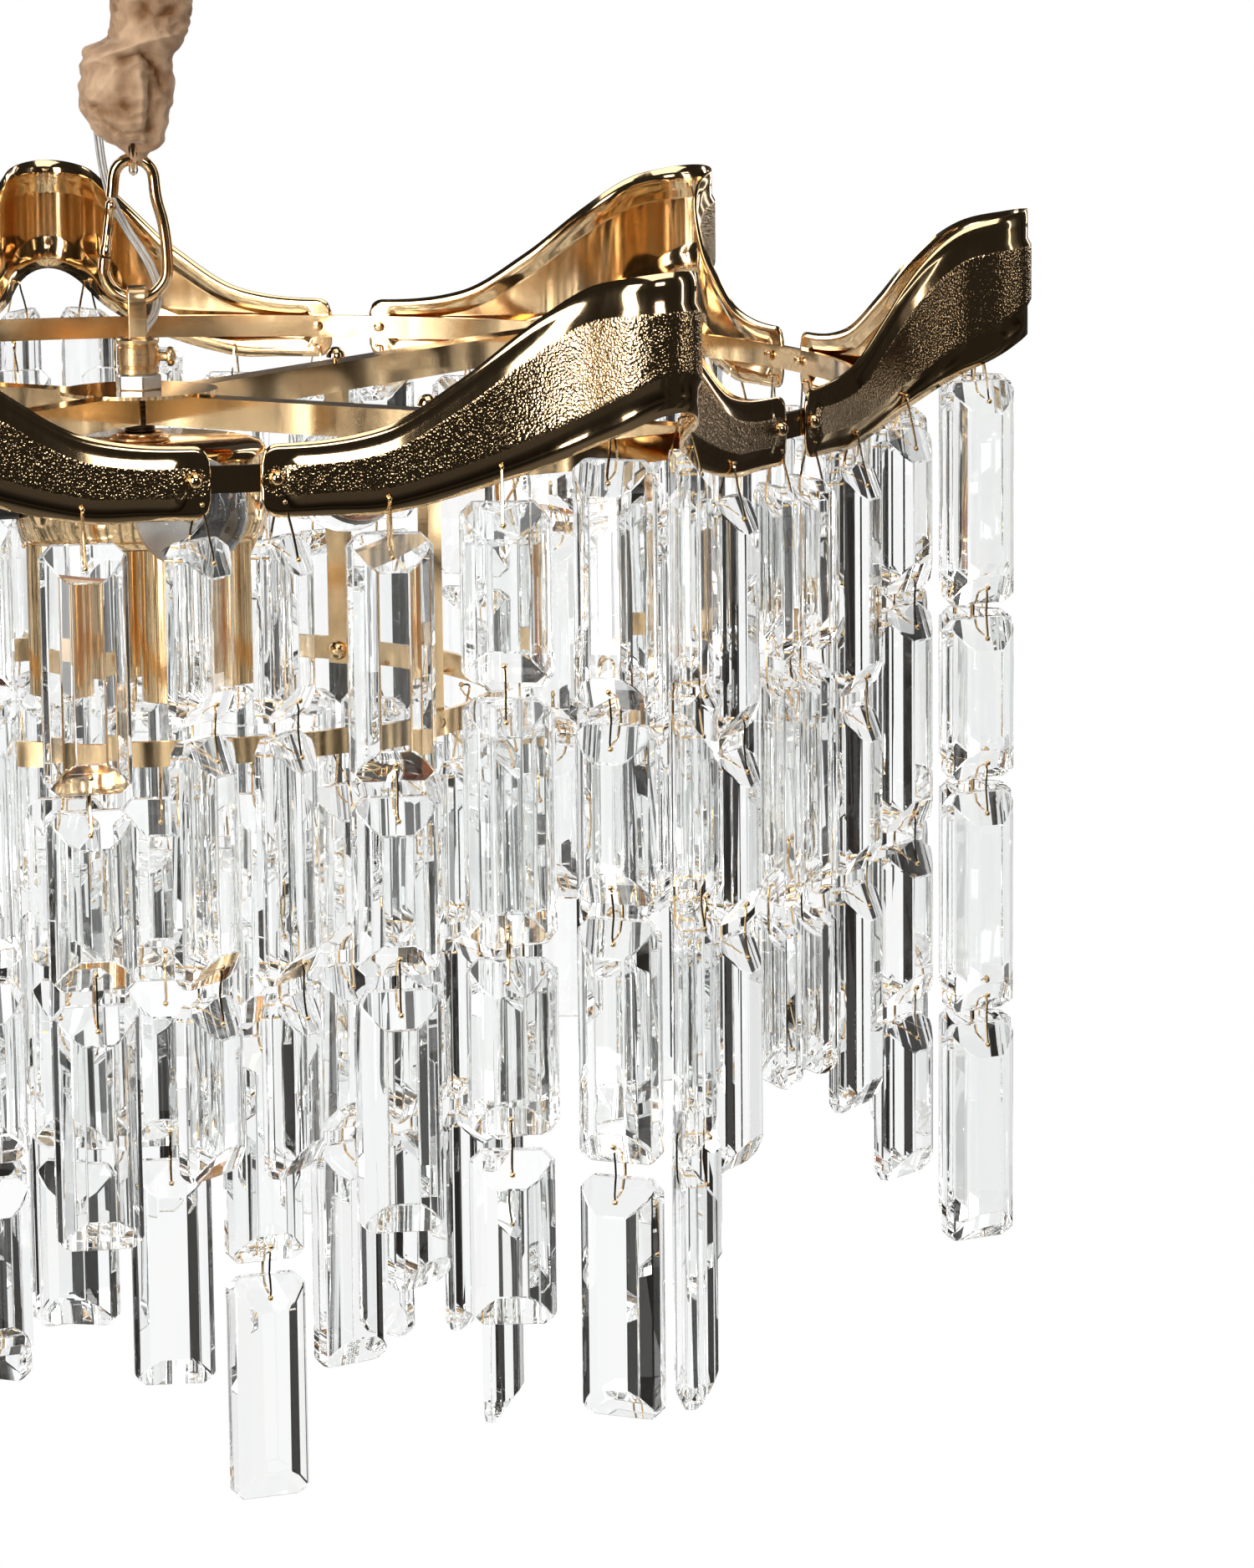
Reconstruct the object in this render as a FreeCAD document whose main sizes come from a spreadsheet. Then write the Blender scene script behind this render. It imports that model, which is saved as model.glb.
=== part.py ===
"""Crystal chandelier: a gold hoop carries seven stamped, wave-shaped leaf plates, and faceted glass
prisms hang in strands from the leaves, the hoop and a smaller ring below.  A carabiner, a chain in a
velvet sleeve and a ceiling cup hold it up.  Origin: centre of the ceiling face.  +Z is up, -Y is the
front, millimetres."""
import FreeCAD, Part
import math
import os

import Sketcher
from FreeCAD import Placement, Rotation, Vector

os.makedirs("parts", exist_ok=True)
doc = FreeCAD.newDocument("crystal_chandelier")
sheet = doc.addObject("Spreadsheet::Sheet", "sizes")
doc_parts = []

# ---------------------------------------------------------------------------- driving dimensions
DRIVING = (
    # ceiling fitting
    ("bracket_length", 110.0, "crossbar on the ceiling, overall"),
    ("bracket_width", 20.0, "crossbar, across"),
    ("bracket_thickness", 2.0, "crossbar strip"),
    ("ceiling_screw_spacing", 70.0, "between the two ceiling screw holes"),
    ("ceiling_screw_radius", 2.6, "ceiling screw hole"),
    ("stud_spacing", 92.0, "between the two studs that hold the cup"),
    ("stud_radius", 2.0, "M4 stud"),
    ("canopy_radius", 60.0, "ceiling cup, outside"),
    ("canopy_depth", 28.0, "ceiling face to the cup's floor"),
    ("canopy_wall", 1.2, "spun sheet of the cup"),
    ("canopy_shoulder", 6.0, "slope between the cup's wall and floor"),
    ("ceiling_gap", 0.4, "cup rim to ceiling"),
    # chain and sleeve
    ("hook_wire", 3.2, "wire of the hook and the chain, thick"),
    ("hook_radius", 5.0, "centre line of the hook's eye"),
    ("hook_shank_radius", 3.0, "threaded shank of the hook"),
    ("link_count", 3.0, "chain links in the sleeve"),
    ("link_width", 11.2, "chain link, outside"),
    ("link_play", 0.5, "air between hooked wires"),
    ("sleeve_bore", 7.4, "velvet sleeve, inside half width"),
    # carabiner
    ("snap_foot_height", 42.2, "hoop's middle to the centre of the wide end"),
    ("snap_wire", 4.0, "carabiner rod"),
    ("snap_top_radius", 6.5, "centre line of the narrow end"),
    ("snap_foot_radius", 10.5, "centre line of the wide end"),
    ("snap_centres", 29.1, "between the two end centres"),
    ("gate_rivet_height", 20.5, "rivet above the wide end's centre"),
    ("gate_nose_height", 3.5, "nose of the hook above the wide end's centre"),
    ("gate_rod", 3.2, "gate rod, thick"),
    ("gate_play", 0.4, "air between gate and hook"),
    ("gate_tongue", 1.0, "tongue that the gate straddles"),
    ("rivet_radius", 0.6, "gate rivet"),
    # stem
    ("bail_width", 6.2, "strip of the stem's bail"),
    ("bail_strip", 1.8, "bail strip, thick"),
    ("bail_window", 6.6, "between the bail's legs"),
    ("collar_radius", 7.0, "stem collar"),
    ("collar_height", 12.3, "stem collar"),
    ("collar_roof", 2.7, "closed top of the collar"),
    ("cord_slot", 4.4, "cord way through the collar's top"),
    ("pipe_radius", 5.0, "M10 threaded pipe"),
    ("pipe_bore", 3.6, "cable way in the pipe"),
    ("thread_play", 0.05, "air in the threads"),
    ("pipe_tail", 22.0, "pipe below the hoop's middle"),
    ("nut_flats", 14.0, "M10 lamp nut, across flats"),
    ("nut_height", 4.8, "lamp nut"),
    ("thumb_radius", 1.5, "thumb screw shank"),
    ("thumb_head_radius", 3.1, "thumb screw head"),
    ("thumb_reach", 12.6, "thumb screw head's end from the stem's axis"),
    ("thumb_height", 12.5, "thumb screw above the hoop's middle"),
    # frame
    ("hoop_drop", 184.0, "ceiling to the middle of the hoop"),
    ("hoop_radius", 238.0, "hoop, inside"),
    ("hoop_thickness", 2.0, "hoop strip"),
    ("hoop_height", 8.0, "hoop strip"),
    ("hub_radius", 26.0, "hub disc"),
    ("hub_thickness", 1.2, "hub disc"),
    ("hub_height", 0.7, "underside of the hub disc above the hoop's middle"),
    ("arm_size", 10.0, "cross arm channel, each way"),
    ("arm_wall", 1.0, "cross arm channel, sheet"),
    ("arm_start", 8.0, "arm's inner end from the axis"),
    ("arm_angle", 53.5, "first arm, from +X"),
    ("arm_count", 4.0, "arms"),
    ("joint_gap", 0.2, "air at a riveted or screwed joint"),
    ("strap_width", 7.6, "drop strap"),
    ("strap_thickness", 4.0, "drop strap"),
    ("ring_radius", 117.0, "lower ring, inside"),
    ("ring_thickness", 2.0, "lower ring strip"),
    ("ring_height", 8.0, "lower ring strip"),
    ("ring_drop", 101.0, "hoop to lower ring"),
    ("dome_radius", 3.3, "dome screw head"),
    ("screw_radius", 1.2, "dome screw shank"),
    # leaf plates
    ("leaf_count", 7.0, "leaf plates round the hoop"),
    ("first_peak", -57.6, "angle of the first leaf's tip"),
    ("leaf_out", 52.7, "tip of a leaf beyond the leaf's seat on the hoop, inner face"),
    ("shoulder_out", 36.1, "leaf beside its tip, beyond its seat"),
    ("shoulder_angle", 2.9, "the same place, from the leaf's middle line"),
    ("flank_out", 14.3, "leaf half way down its flank, beyond its seat"),
    ("flank_angle", 7.7, "the same place, from the leaf's middle line"),
    ("neck_out", 3.9, "leaf where it leaves the hoop, beyond its seat"),
    ("neck_angle", 14.7, "the same place, from the leaf's middle line"),
    ("heel_out", 0.6, "leaf just before its seat, beyond it"),
    ("heel_angle", 19.6, "the same place, from the leaf's middle line"),
    ("leaf_end_gap", 15.0, "between the ends of two leaves"),
    ("leaf_seat_gap", 0.3, "leaf's inner face to hoop"),
    ("leaf_sheet", 1.0, "leaf sheet"),
    ("leaf_emboss", 1.2, "middle panel stands proud"),
    ("leaf_step", 1.5, "slope of the embossed step"),
    ("leaf_crest", 59.0, "upper edge at the tip, above the hoop's middle"),
    ("leaf_foot", 10.0, "upper edge at the ends"),
    ("leaf_under_crest", 18.0, "lower edge at the tip"),
    ("leaf_under_foot", -11.5, "lower edge at the ends"),
    ("rim_crest", 9.5, "smooth rim at the tip"),
    ("rim_foot", 3.8, "smooth rim at the ends"),
    ("leaf_corner", 4.5, "rounded corners at the leaf's ends"),
    ("pin_hole", 2.6, "hole for a wire pin, across"),
    ("pin_edge", 4.4, "pin hole above the leaf's lower edge"),
    ("rivet_head", 2.2, "leaf rivet head"),
    ("rivet_shank", 0.9, "leaf rivet shank"),
    ("rivet_inset", 4.5, "leaf rivet from the leaf's end"),
    # crystals
    ("crystal_width", 26.0, "prism, across"),
    ("crystal_depth", 11.0, "prism, front to back"),
    ("crystal_face", 12.0, "front facet, across"),
    ("crystal_side", 4.0, "side facet, deep"),
    ("crystal_moon", 10.5, "height of the sloping end facet"),
    ("long_crystal", 74.0, "long prism"),
    ("short_crystal", 54.0, "short prism"),
    ("crystal_gap", 4.5, "between prisms of a strand"),
    ("crystal_hole", 6.0, "hole from the prism's end"),
    ("wire_thickness", 1.0, "brass wire pin"),
    ("wire_play", 0.1, "wire to prism"),
    ("leaf_play", 0.7, "wire to the leaf's inner face"),
    ("pin_drop", 16.5, "hole in the leaf to hole in the prism"),
    ("valley_twist", 50.0, "turn of the prisms beside a gap"),
    ("inner_offset", 4.5, "inner strands, from a leaf's middle line"),
    ("inner_seat", 1.5, "inner strand's wire to the hoop"),
    ("ring_strands", 24.0, "strands on the lower ring"),
    ("ring_strand_angle", -73.0, "longest strand at the front of the lower ring"),
    # lamps
    ("tray_radius", 42.0, "lamp tray"),
    ("tray_top", 15.0, "hoop's middle to the tray's top"),
    ("tray_height", 32.0, "lamp tray"),
    ("tray_wall", 1.2, "lamp tray, sheet"),
    ("tray_flare", 1.6, "tray's foot is narrower than its shoulder"),
    ("tube_radius", 10.4, "lamp tube"),
    ("tube_wall", 0.8, "lamp tube"),
    ("tube_length", 51.0, "lamp tube below the tray"),
    ("tube_circle", 29.5, "lamp tubes from the axis"),
    ("tube_angle", -72.0, "first lamp tube"),
    ("side_lamp_angle", -77.0, "first side lamp"),
    ("side_lamp_drop", 31.0, "side lamps below the hoop's middle"),
    ("globe_radius", 18.5, "glass globe of a side lamp"),
    ("globe_reach", 70.0, "centre of the globe from the axis"),
    ("lamp_count", 4.0, "lamps of each kind"),
    ("socket_radius", 8.4, "lamp socket"),
    ("socket_bore", 6.6, "lamp socket, inside"),
    ("socket_length", 12.0, "lamp socket"),
    ("cap_radius", 6.2, "lamp cap"),
    ("candle_radius", 7.4, "glass of a lamp in a tube"),
    ("candle_length", 36.0, "glass of a lamp in a tube"),
    # cord
    ("cord_radius", 1.5, "two-core flex, half its width"),
)

# How the leaf's edges climb from its ends (0) to its tip (1): share of the way, share of the climb.
UPPER_EDGE = ((0.0, 0.0), (0.283, 0.078), (0.472, 0.359), (0.646, 0.70), (0.772, 0.896),
              (0.89, 0.967), (1.0, 1.0))
LOWER_EDGE = ((0.0, 0.0), (0.30, 0.0), (0.567, 0.288), (0.835, 0.729), (1.0, 1.0))
# Stations along half a leaf, and its four pin holes, as shares of the way.
LEAF_STATIONS = (0.0, 0.057, 0.069, 0.19, 0.35, 0.53, 0.70, 0.83, 0.92, 1.0)
PIN_STATIONS = (0.835, 0.567, 0.30, 0.037)
# Prisms of the four strands from the tip to the gap, and of the other rows: L long, S short.
LEAF_STRANDS = ("LSLL", "SLSS", "LSL", "SLS")
INNER_STRAND = "SLS"
RING_STRANDS = ("LLL", "SSL", "SSS", "SSL")
# Flex: across, towards the back, above the hoop's middle.
CORD_ROUTE = ((-10.9, 5.2, 80.6), (-9.6, 5.8, 72.0), (-7.2, 6.0, 63.0), (-3.0, 6.0, 55.0),
              (1.5, 5.4, 48.0), (5.0, 5.0, 42.0), (7.2, 5.2, 35.5), (6.9, 4.4, 29.0), (5.0, 1.6, 24.6),
              (3.3, 0.0, 21.0), (2.6, 0.0, 17.2))
# Sleeve: above the hoop's middle, across of its middle, half width, half depth.
SLEEVE_RINGS = ((81.5, -1.8, 10.8, 9.8), (86.5, -3.9, 12.6, 11.2), (97.0, -4.8, 14.8, 13.0),
                (105.0, -4.6, 14.6, 13.0), (117.0, -0.4, 12.2, 11.2), (130.5, 3.8, 12.2, 11.0),
                (143.0, 0.6, 13.2, 12.0), (155.5, 0.0, 11.6, 11.0))


class Size:
    """A length or angle that knows its number and the sheet expression that gives it."""

    def __init__(self, value, text):
        self.value = value
        self.text = text

    def __add__(self, other):
        other = as_size(other)
        return Size(self.value + other.value, f"({self.text} + {other.text})")

    def __sub__(self, other):
        other = as_size(other)
        return Size(self.value - other.value, f"({self.text} - {other.text})")

    def __mul__(self, other):
        other = as_size(other)
        return Size(self.value * other.value, f"({self.text} * {other.text})")

    def __neg__(self):
        return Size(-self.value, f"(0 - {self.text})")


def as_size(item):
    if isinstance(item, Size):
        return item
    return Size(float(item), str(item))


for row, (name, number, meaning) in enumerate(DRIVING, start=1):
    sheet.set(f"A{row}", meaning)
    sheet.set(f"B{row}", str(number))
    sheet.setAlias(f"B{row}", name)
doc.recompute()


def dim(name):
    """One driving dimension, with its expression."""
    return Size(float(sheet.get(name)), f"sizes.{name}")


def num(name):
    """One driving dimension as a plain number."""
    return float(sheet.get(name))


# ---------------------------------------------------------------------------- document helpers
def keep(obj, label):
    """Name a finished piece; its label names its file."""
    obj.Label = label
    doc_parts.append(obj)
    return obj


def piece(label, shape):
    """A finished piece whose shape is made with Part's own functions."""
    obj = doc.addObject("Part::Feature", label)
    obj.Shape = shape
    return keep(obj, label)


def body_sketch(body, role, label):
    """Empty sketch on one of a body's origin planes."""
    sketch = body.newObject("Sketcher::SketchObject", label)
    plane = [item for item in body.Origin.OriginFeatures if item.Role == role][0]
    sketch.AttachmentSupport = [(plane, "")]
    sketch.MapMode = "FlatFace"
    return sketch


def pin_point(sketch, geometry, end, across, up):
    """Tie one sketch point to two sizes."""
    for axis, kind, size in ((-2, "DistanceX", across), (-1, "DistanceY", up)):
        size = as_size(size)
        if size.text in ("0", "0.0"):
            sketch.addConstraint(Sketcher.Constraint("PointOnObject", geometry, end, axis))
            continue
        index = sketch.addConstraint(Sketcher.Constraint(kind, -1, 1, geometry, end, size.value))
        sketch.setExpression(f"Constraints[{index}]", size.text)


def outline(sketch, points):
    """Closed outline of straight lines through sized points."""
    plain = [Vector(as_size(a).value, as_size(b).value, 0) for a, b in points]
    first = sketch.GeometryCount
    for index, start in enumerate(plain):
        sketch.addGeometry(Part.LineSegment(start, plain[(index + 1) % len(plain)]))
    for index in range(len(plain)):
        after = first + (index + 1) % len(plain)
        sketch.addConstraint(Sketcher.Constraint("Coincident", first + index, 2, after, 1))
    for index, (across, up) in enumerate(points):
        pin_point(sketch, first + index, 1, across, up)


def circle(sketch, across, up, radius):
    """Circle with sized centre and radius."""
    centre = Vector(as_size(across).value, as_size(up).value, 0)
    index = sketch.addGeometry(Part.Circle(centre, Vector(0, 0, 1), radius.value))
    pin_point(sketch, index, 3, across, up)
    tie = sketch.addConstraint(Sketcher.Constraint("Radius", index, radius.value))
    sketch.setExpression(f"Constraints[{tie}]", radius.text)


def pad(body, sketch, length, label, middle=False, reverse=False):
    feature = body.newObject("PartDesign::Pad", label)
    feature.Profile = sketch
    feature.setExpression("Length", length.text)
    feature.SideType = "Symmetric" if middle else "One side"
    feature.Reversed = reverse
    return feature


def through(body, sketch, label):
    feature = body.newObject("PartDesign::Pocket", label)
    feature.Profile = sketch
    feature.Type = "ThroughAll"
    feature.SideType = "Symmetric"
    return feature


def turn(body, sketch, label):
    """Full revolution about the body's Z axis of a sketch on its XZ plane."""
    feature = body.newObject("PartDesign::Revolution", label)
    feature.Profile = sketch
    feature.ReferenceAxis = (sketch, ["V_Axis"])
    feature.Angle = 360.0
    return feature


def helper(label, shape):
    """A shape that other pieces are cut with; it isn't a piece itself."""
    obj = doc.addObject("Part::Feature", label)
    obj.Shape = shape
    return obj


def cut(label, base, tool):
    obj = doc.addObject("Part::Cut", label)
    obj.Base = base
    obj.Tool = tool
    return obj


# ---------------------------------------------------------------------------- flat-faced solids
def flat_faces(points):
    """One face when the points lie in a plane, else two triangles."""
    kept = []
    for index, point in enumerate(points):
        if point.distanceToPoint(points[index - 1]) > 1e-6:
            kept.append(point)
    if len(kept) < 3:
        return []
    if len(kept) == 4:
        normal = (kept[1] - kept[0]).cross(kept[2] - kept[0])
        away = abs(normal.dot(kept[3] - kept[0]))
        if away > 1e-6 * max(1.0, normal.Length):
            return flat_faces([kept[0], kept[1], kept[2]]) + flat_faces([kept[0], kept[2], kept[3]])
    return [Part.Face(Part.makePolygon(kept + [kept[0]]))]


def skinned(sections, closed=False):
    """Solid with flat faces between outlines that have as many points each."""
    faces = []
    count = len(sections[0])
    spans = len(sections) if closed else len(sections) - 1
    for index in range(spans):
        one = sections[index]
        two = sections[(index + 1) % len(sections)]
        for corner in range(count):
            after = (corner + 1) % count
            faces += flat_faces([one[corner], one[after], two[after], two[corner]])
    if not closed:
        faces += cap(sections[0])
        faces += cap(sections[-1])
    shell = Part.Shell(faces)
    shell.sewShape()
    solid = Part.Solid(shell)
    if solid.Volume < 0:
        solid.reverse()
    return solid


def cap(section):
    """End face of a skinned solid; a section that has shrunk to a point needs none."""
    span = max(point.distanceToPoint(section[0]) for point in section)
    if span < 1e-6:
        return []
    return [Part.Face(Part.makePolygon(section + [section[0]]))]


def turned(profile, sides, closed=True):
    """Round piece with flat sides: (radius, height) points carried round Z."""
    sections = []
    for step in range(sides):
        angle = 2 * math.pi * step / sides
        sections.append([Vector(r * math.cos(angle), r * math.sin(angle), z) for r, z in profile])
    return skinned(sections, closed)


def polar(radius, angle, height=0.0):
    """Point at a radius and an angle in degrees."""
    turned_by = math.radians(angle)
    return Vector(radius * math.cos(turned_by), radius * math.sin(turned_by), height)


def prism(radius, long, base, way=Vector(0, 0, 1), sides=8):
    """Many-sided bar or drill round a line: its flats lie at the radius."""
    corner = radius / math.cos(math.pi / sides)
    ring = [polar(corner, 360.0 * step / sides) for step in range(sides + 1)]
    bar = Part.Face(Part.makePolygon(ring)).extrude(Vector(0, 0, long))
    bar.Placement = Placement(base, Rotation(Vector(0, 0, 1), way))
    return bar


def rod(path, radius, sides, side=Vector(0, 1, 0), closed=False):
    """Bent rod: a many-sided section carried along a path that lies in a plane normal to side."""
    sections = []
    count = len(path)
    for index, point in enumerate(path):
        before = path[index - 1] if closed or index > 0 else point
        after = path[(index + 1) % count] if closed or index < count - 1 else point
        incoming = (point - before).normalize() if before is not point else None
        outgoing = (after - point).normalize() if after is not point else None
        incoming = incoming or outgoing
        outgoing = outgoing or incoming
        along = (incoming + outgoing).normalize()
        across = side.cross(along).normalize()
        stretch = 1.0 / max(0.5, along.dot(incoming))
        ring = []
        for corner in range(sides):
            angle = 2 * math.pi * (corner + 0.5) / sides
            ring.append(point + across * (radius * stretch * math.cos(angle))
                        + side * (radius * math.sin(angle)))
        sections.append(ring)
    return skinned(sections, closed)


def arc_points(centre, radius, start, end, steps, plane="xz"):
    """Points along an arc, angles in degrees from the plane's first axis."""
    points = []
    for step in range(steps + 1):
        angle = math.radians(start + (end - start) * step / steps)
        one = radius * math.cos(angle)
        two = radius * math.sin(angle)
        offset = Vector(one, 0, two) if plane == "xz" else Vector(0, one, two)
        points.append(centre + offset)
    return points


def placed(shape, angle=0.0, base=Vector(0, 0, 0)):
    """Copy of a shape, turned about Z and moved."""
    copy = shape.copy()
    copy.Placement = Placement(base, Rotation(Vector(0, 0, 1), angle)).multiply(copy.Placement)
    return copy


# ---------------------------------------------------------------------------- heights
hoop_level = -num("hoop_drop")
hoop_height_size = -dim("hoop_drop")
snap_foot = hoop_level + num("snap_foot_height")
snap_top = snap_foot + num("snap_centres")
eye_bottom = -num("canopy_depth") - 1.0 - 2 * num("hook_radius")


# ---------------------------------------------------------------------------- ceiling fitting
def ceiling_bracket():
    """Flat crossbar that the ceiling screws hold, with holes for the cup's studs."""
    body = doc.addObject("PartDesign::Body", "ceiling_bracket")
    half_long = dim("bracket_length") * 0.5
    half_wide = dim("bracket_width") * 0.5
    plan = body_sketch(body, "XY_Plane", "bracket_plan")
    outline(plan, ((-half_long, -half_wide), (half_long, -half_wide),
                   (half_long, half_wide), (-half_long, half_wide)))
    pad(body, plan, dim("bracket_thickness"), "bracket_strip", reverse=True)
    holes = body_sketch(body, "XY_Plane", "bracket_holes")
    screw_at = dim("ceiling_screw_spacing") * 0.5
    stud_at = dim("stud_spacing") * 0.5
    for sign in (1, -1):
        circle(holes, screw_at * sign, 0, dim("ceiling_screw_radius"))
        circle(holes, stud_at * sign, 0, dim("stud_radius") + dim("thread_play"))
    circle(holes, 0, 0, dim("hook_shank_radius") + dim("thread_play"))
    through(body, holes, "bracket_drilling")
    keep(body, "ceiling_bracket")


def canopy():
    """Spun ceiling cup, open at the top, with holes for the studs and the hook."""
    outer = num("canopy_radius")
    wall = num("canopy_wall")
    depth = num("canopy_depth")
    shoulder = num("canopy_shoulder")
    hole = num("hook_shank_radius") + num("joint_gap")
    rim = -num("ceiling_gap")
    profile = ((outer - wall, rim), (outer, rim), (outer, shoulder - depth),
               (outer - shoulder, -depth), (hole, -depth), (hole, wall - depth),
               (outer - shoulder - wall * 0.5, wall - depth), (outer - wall, shoulder - depth + wall * 0.5))
    cup = turned(profile, 30)
    for sign in (1, -1):
        at = Vector(sign * num("stud_spacing") / 2, 0, -depth - wall)
        cup = cup.cut(prism(num("stud_radius") + num("joint_gap"), 3 * wall, at))
    piece("canopy", cup)


def canopy_screws():
    """Two studs through the crossbar and the cup, each with a cap nut below."""
    depth = num("canopy_depth") + 0.1
    radius = num("stud_radius")
    stem = turned(((0, -0.1), (radius, -0.1), (radius, -depth), (radius * 2, -depth),
                   (radius * 2, -depth - 3), (radius, -depth - 5), (0, -depth - 5)), 8)
    half = num("stud_spacing") / 2
    piece("canopy_screws", Part.makeCompound([placed(stem, 0, Vector(sign * half, 0, 0)) for sign in (1, -1)]))


def ceiling_hook():
    """Threaded shank with a closed eye, and the nut that holds it on the crossbar."""
    wire = num("hook_wire") / 2
    radius = num("hook_radius")
    shank = num("hook_shank_radius")
    centre = Vector(0, 0, eye_bottom + radius)
    loop = rod(arc_points(centre, radius, 90, 90 + 360 * 11 / 12, 11), wire, 6, closed=True)
    shank_low = centre.z + radius - wire / 2
    stem = turned(((0, -0.1), (shank, -0.1), (shank, shank_low), (0, shank_low)), 8)
    nut_top = -num("bracket_thickness") - 0.1
    flats = 1.6 * shank / math.cos(math.pi / 6)
    nut = turned(((shank * 0.5, nut_top), (flats, nut_top), (flats, nut_top - 4), (shank * 0.5, nut_top - 4)), 6)
    piece("ceiling_hook", stem.fuse([loop, nut]).removeSplitter())


def chain_links():
    """Oval wire links from the hook's eye to the carabiner, each turned a quarter."""
    wire = num("hook_wire") / 2
    half = num("link_width") / 2 - wire
    count = int(num("link_count"))
    bite = 2 * wire + num("link_play")
    first = eye_bottom + bite
    last = snap_top + num("snap_top_radius") - wire - num("snap_wire") / 2 - num("link_play")
    length = (first - last + (count - 1) * bite) / count
    links = []
    for index in range(count):
        high = first - index * (length - bite)
        plane = "yz" if index % 2 == 0 else "xz"
        side = Vector(1, 0, 0) if plane == "yz" else Vector(0, -1, 0)
        path = arc_points(Vector(0, 0, high - half), half, 0, 180, 4, plane)
        path += arc_points(Vector(0, 0, high - length + half), half, 180, 360, 4, plane)
        links.append(rod(path, wire, 6, side, closed=True))
    piece("chain_links", Part.makeCompound(links))


def velvet_sleeve():
    """Gathered velvet tube over the chain."""
    bore = num("sleeve_bore")
    sections = []
    sides = 12
    for step in range(sides):
        angle = 2 * math.pi * step / sides
        across = math.cos(angle)
        back = math.sin(angle)
        section = [Vector(x + a * across, b * back, hoop_level + z) for z, x, a, b in SLEEVE_RINGS]
        high = hoop_level + SLEEVE_RINGS[-1][0]
        low = hoop_level + SLEEVE_RINGS[0][0]
        section.append(Vector(bore * across, bore * back, high))
        section.append(Vector(bore * across, bore * back, low))
        sections.append(section)
    piece("velvet_sleeve", skinned(sections, True))


# ---------------------------------------------------------------------------- carabiner and cord
def snap_left(height):
    """Centre line of the carabiner's straight side at a height above the wide end's centre."""
    lean = (num("snap_foot_radius") - num("snap_top_radius")) / num("snap_centres")
    return -(num("snap_foot_radius") - lean * height)


def gate_pivot():
    height = num("gate_rivet_height")
    return Vector(snap_left(height), 0, snap_foot + height)


def carabiner():
    """Pear-shaped snap hook with the rivet of its gate."""
    wire = num("snap_wire") / 2
    foot = Vector(0, 0, snap_foot)
    top = Vector(0, 0, snap_top)
    nose = num("gate_nose_height")
    pivot = gate_pivot()
    shoulder = num("gate_rivet_height") + 2.4
    path = [Vector(snap_left(nose), 0, snap_foot + nose)]
    path += arc_points(foot, num("snap_foot_radius"), 180, 360, 10)
    path += arc_points(top, num("snap_top_radius"), 0, 180, 8)
    path.append(Vector(snap_left(shoulder), 0, snap_foot + shoulder))
    bent = rod(path, wire, 8)
    half = num("gate_tongue") / 2
    tongue = Part.makeBox(2.0, 2 * half, 4.4, Vector(pivot.x - 1.0, -half, pivot.z - 1.2))
    rivet = prism(num("rivet_radius"), 3.0, pivot - Vector(0, 1.5, 0), Vector(0, 1, 0))
    piece("carabiner_body", bent.fuse([tongue, rivet]).removeSplitter())


def carabiner_gate():
    """Sprung gate: its fork straddles the hook's tongue, its foot closes on the nose."""
    radius = num("gate_rod") / 2
    pivot = gate_pivot()
    nose = num("gate_nose_height") + num("gate_play")
    foot = Vector(snap_left(nose), 0, snap_foot + nose)
    head = pivot + (pivot - foot).normalize() * 1.4
    bar = rod([foot, head], radius, 8)
    half = num("gate_tongue") / 2 + num("gate_play")
    slot = Part.makeBox(8, 2 * half, 6.0, Vector(pivot.x - 4, -half, pivot.z - 3.0))
    hole = prism(num("rivet_radius") + 0.3, 6, pivot - Vector(0, 3, 0), Vector(0, 1, 0))
    piece("carabiner_gate", bar.cut([slot, hole]).removeSplitter())


def power_cord():
    """Two-core flex from the sleeve, behind the carabiner, into the collar."""
    points = [Vector(x, y, hoop_level + z) for x, y, z in CORD_ROUTE]
    radius = num("cord_radius")
    sections = []
    for index, point in enumerate(points):
        before = points[max(0, index - 1)]
        after = points[min(len(points) - 1, index + 1)]
        along = (after - before).normalize()
        across = Vector(0, 1, 0).cross(along).normalize()
        up = along.cross(across)
        ring = []
        for corner in range(6):
            angle = 2 * math.pi * corner / 6
            ring.append(point + across * (radius * math.cos(angle)) + up * (radius * math.sin(angle)))
        sections.append(ring)
    piece("power_cord", skinned(sections))


# ---------------------------------------------------------------------------- stem
hub_under = hoop_level + num("hub_height")
hub_top = hub_under + num("hub_thickness")
nut_top = hub_top + num("nut_height")
collar_top = nut_top + num("collar_height")
thumb_level = hoop_level + num("thumb_height")
tray_level = hoop_level - num("tray_top")


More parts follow.
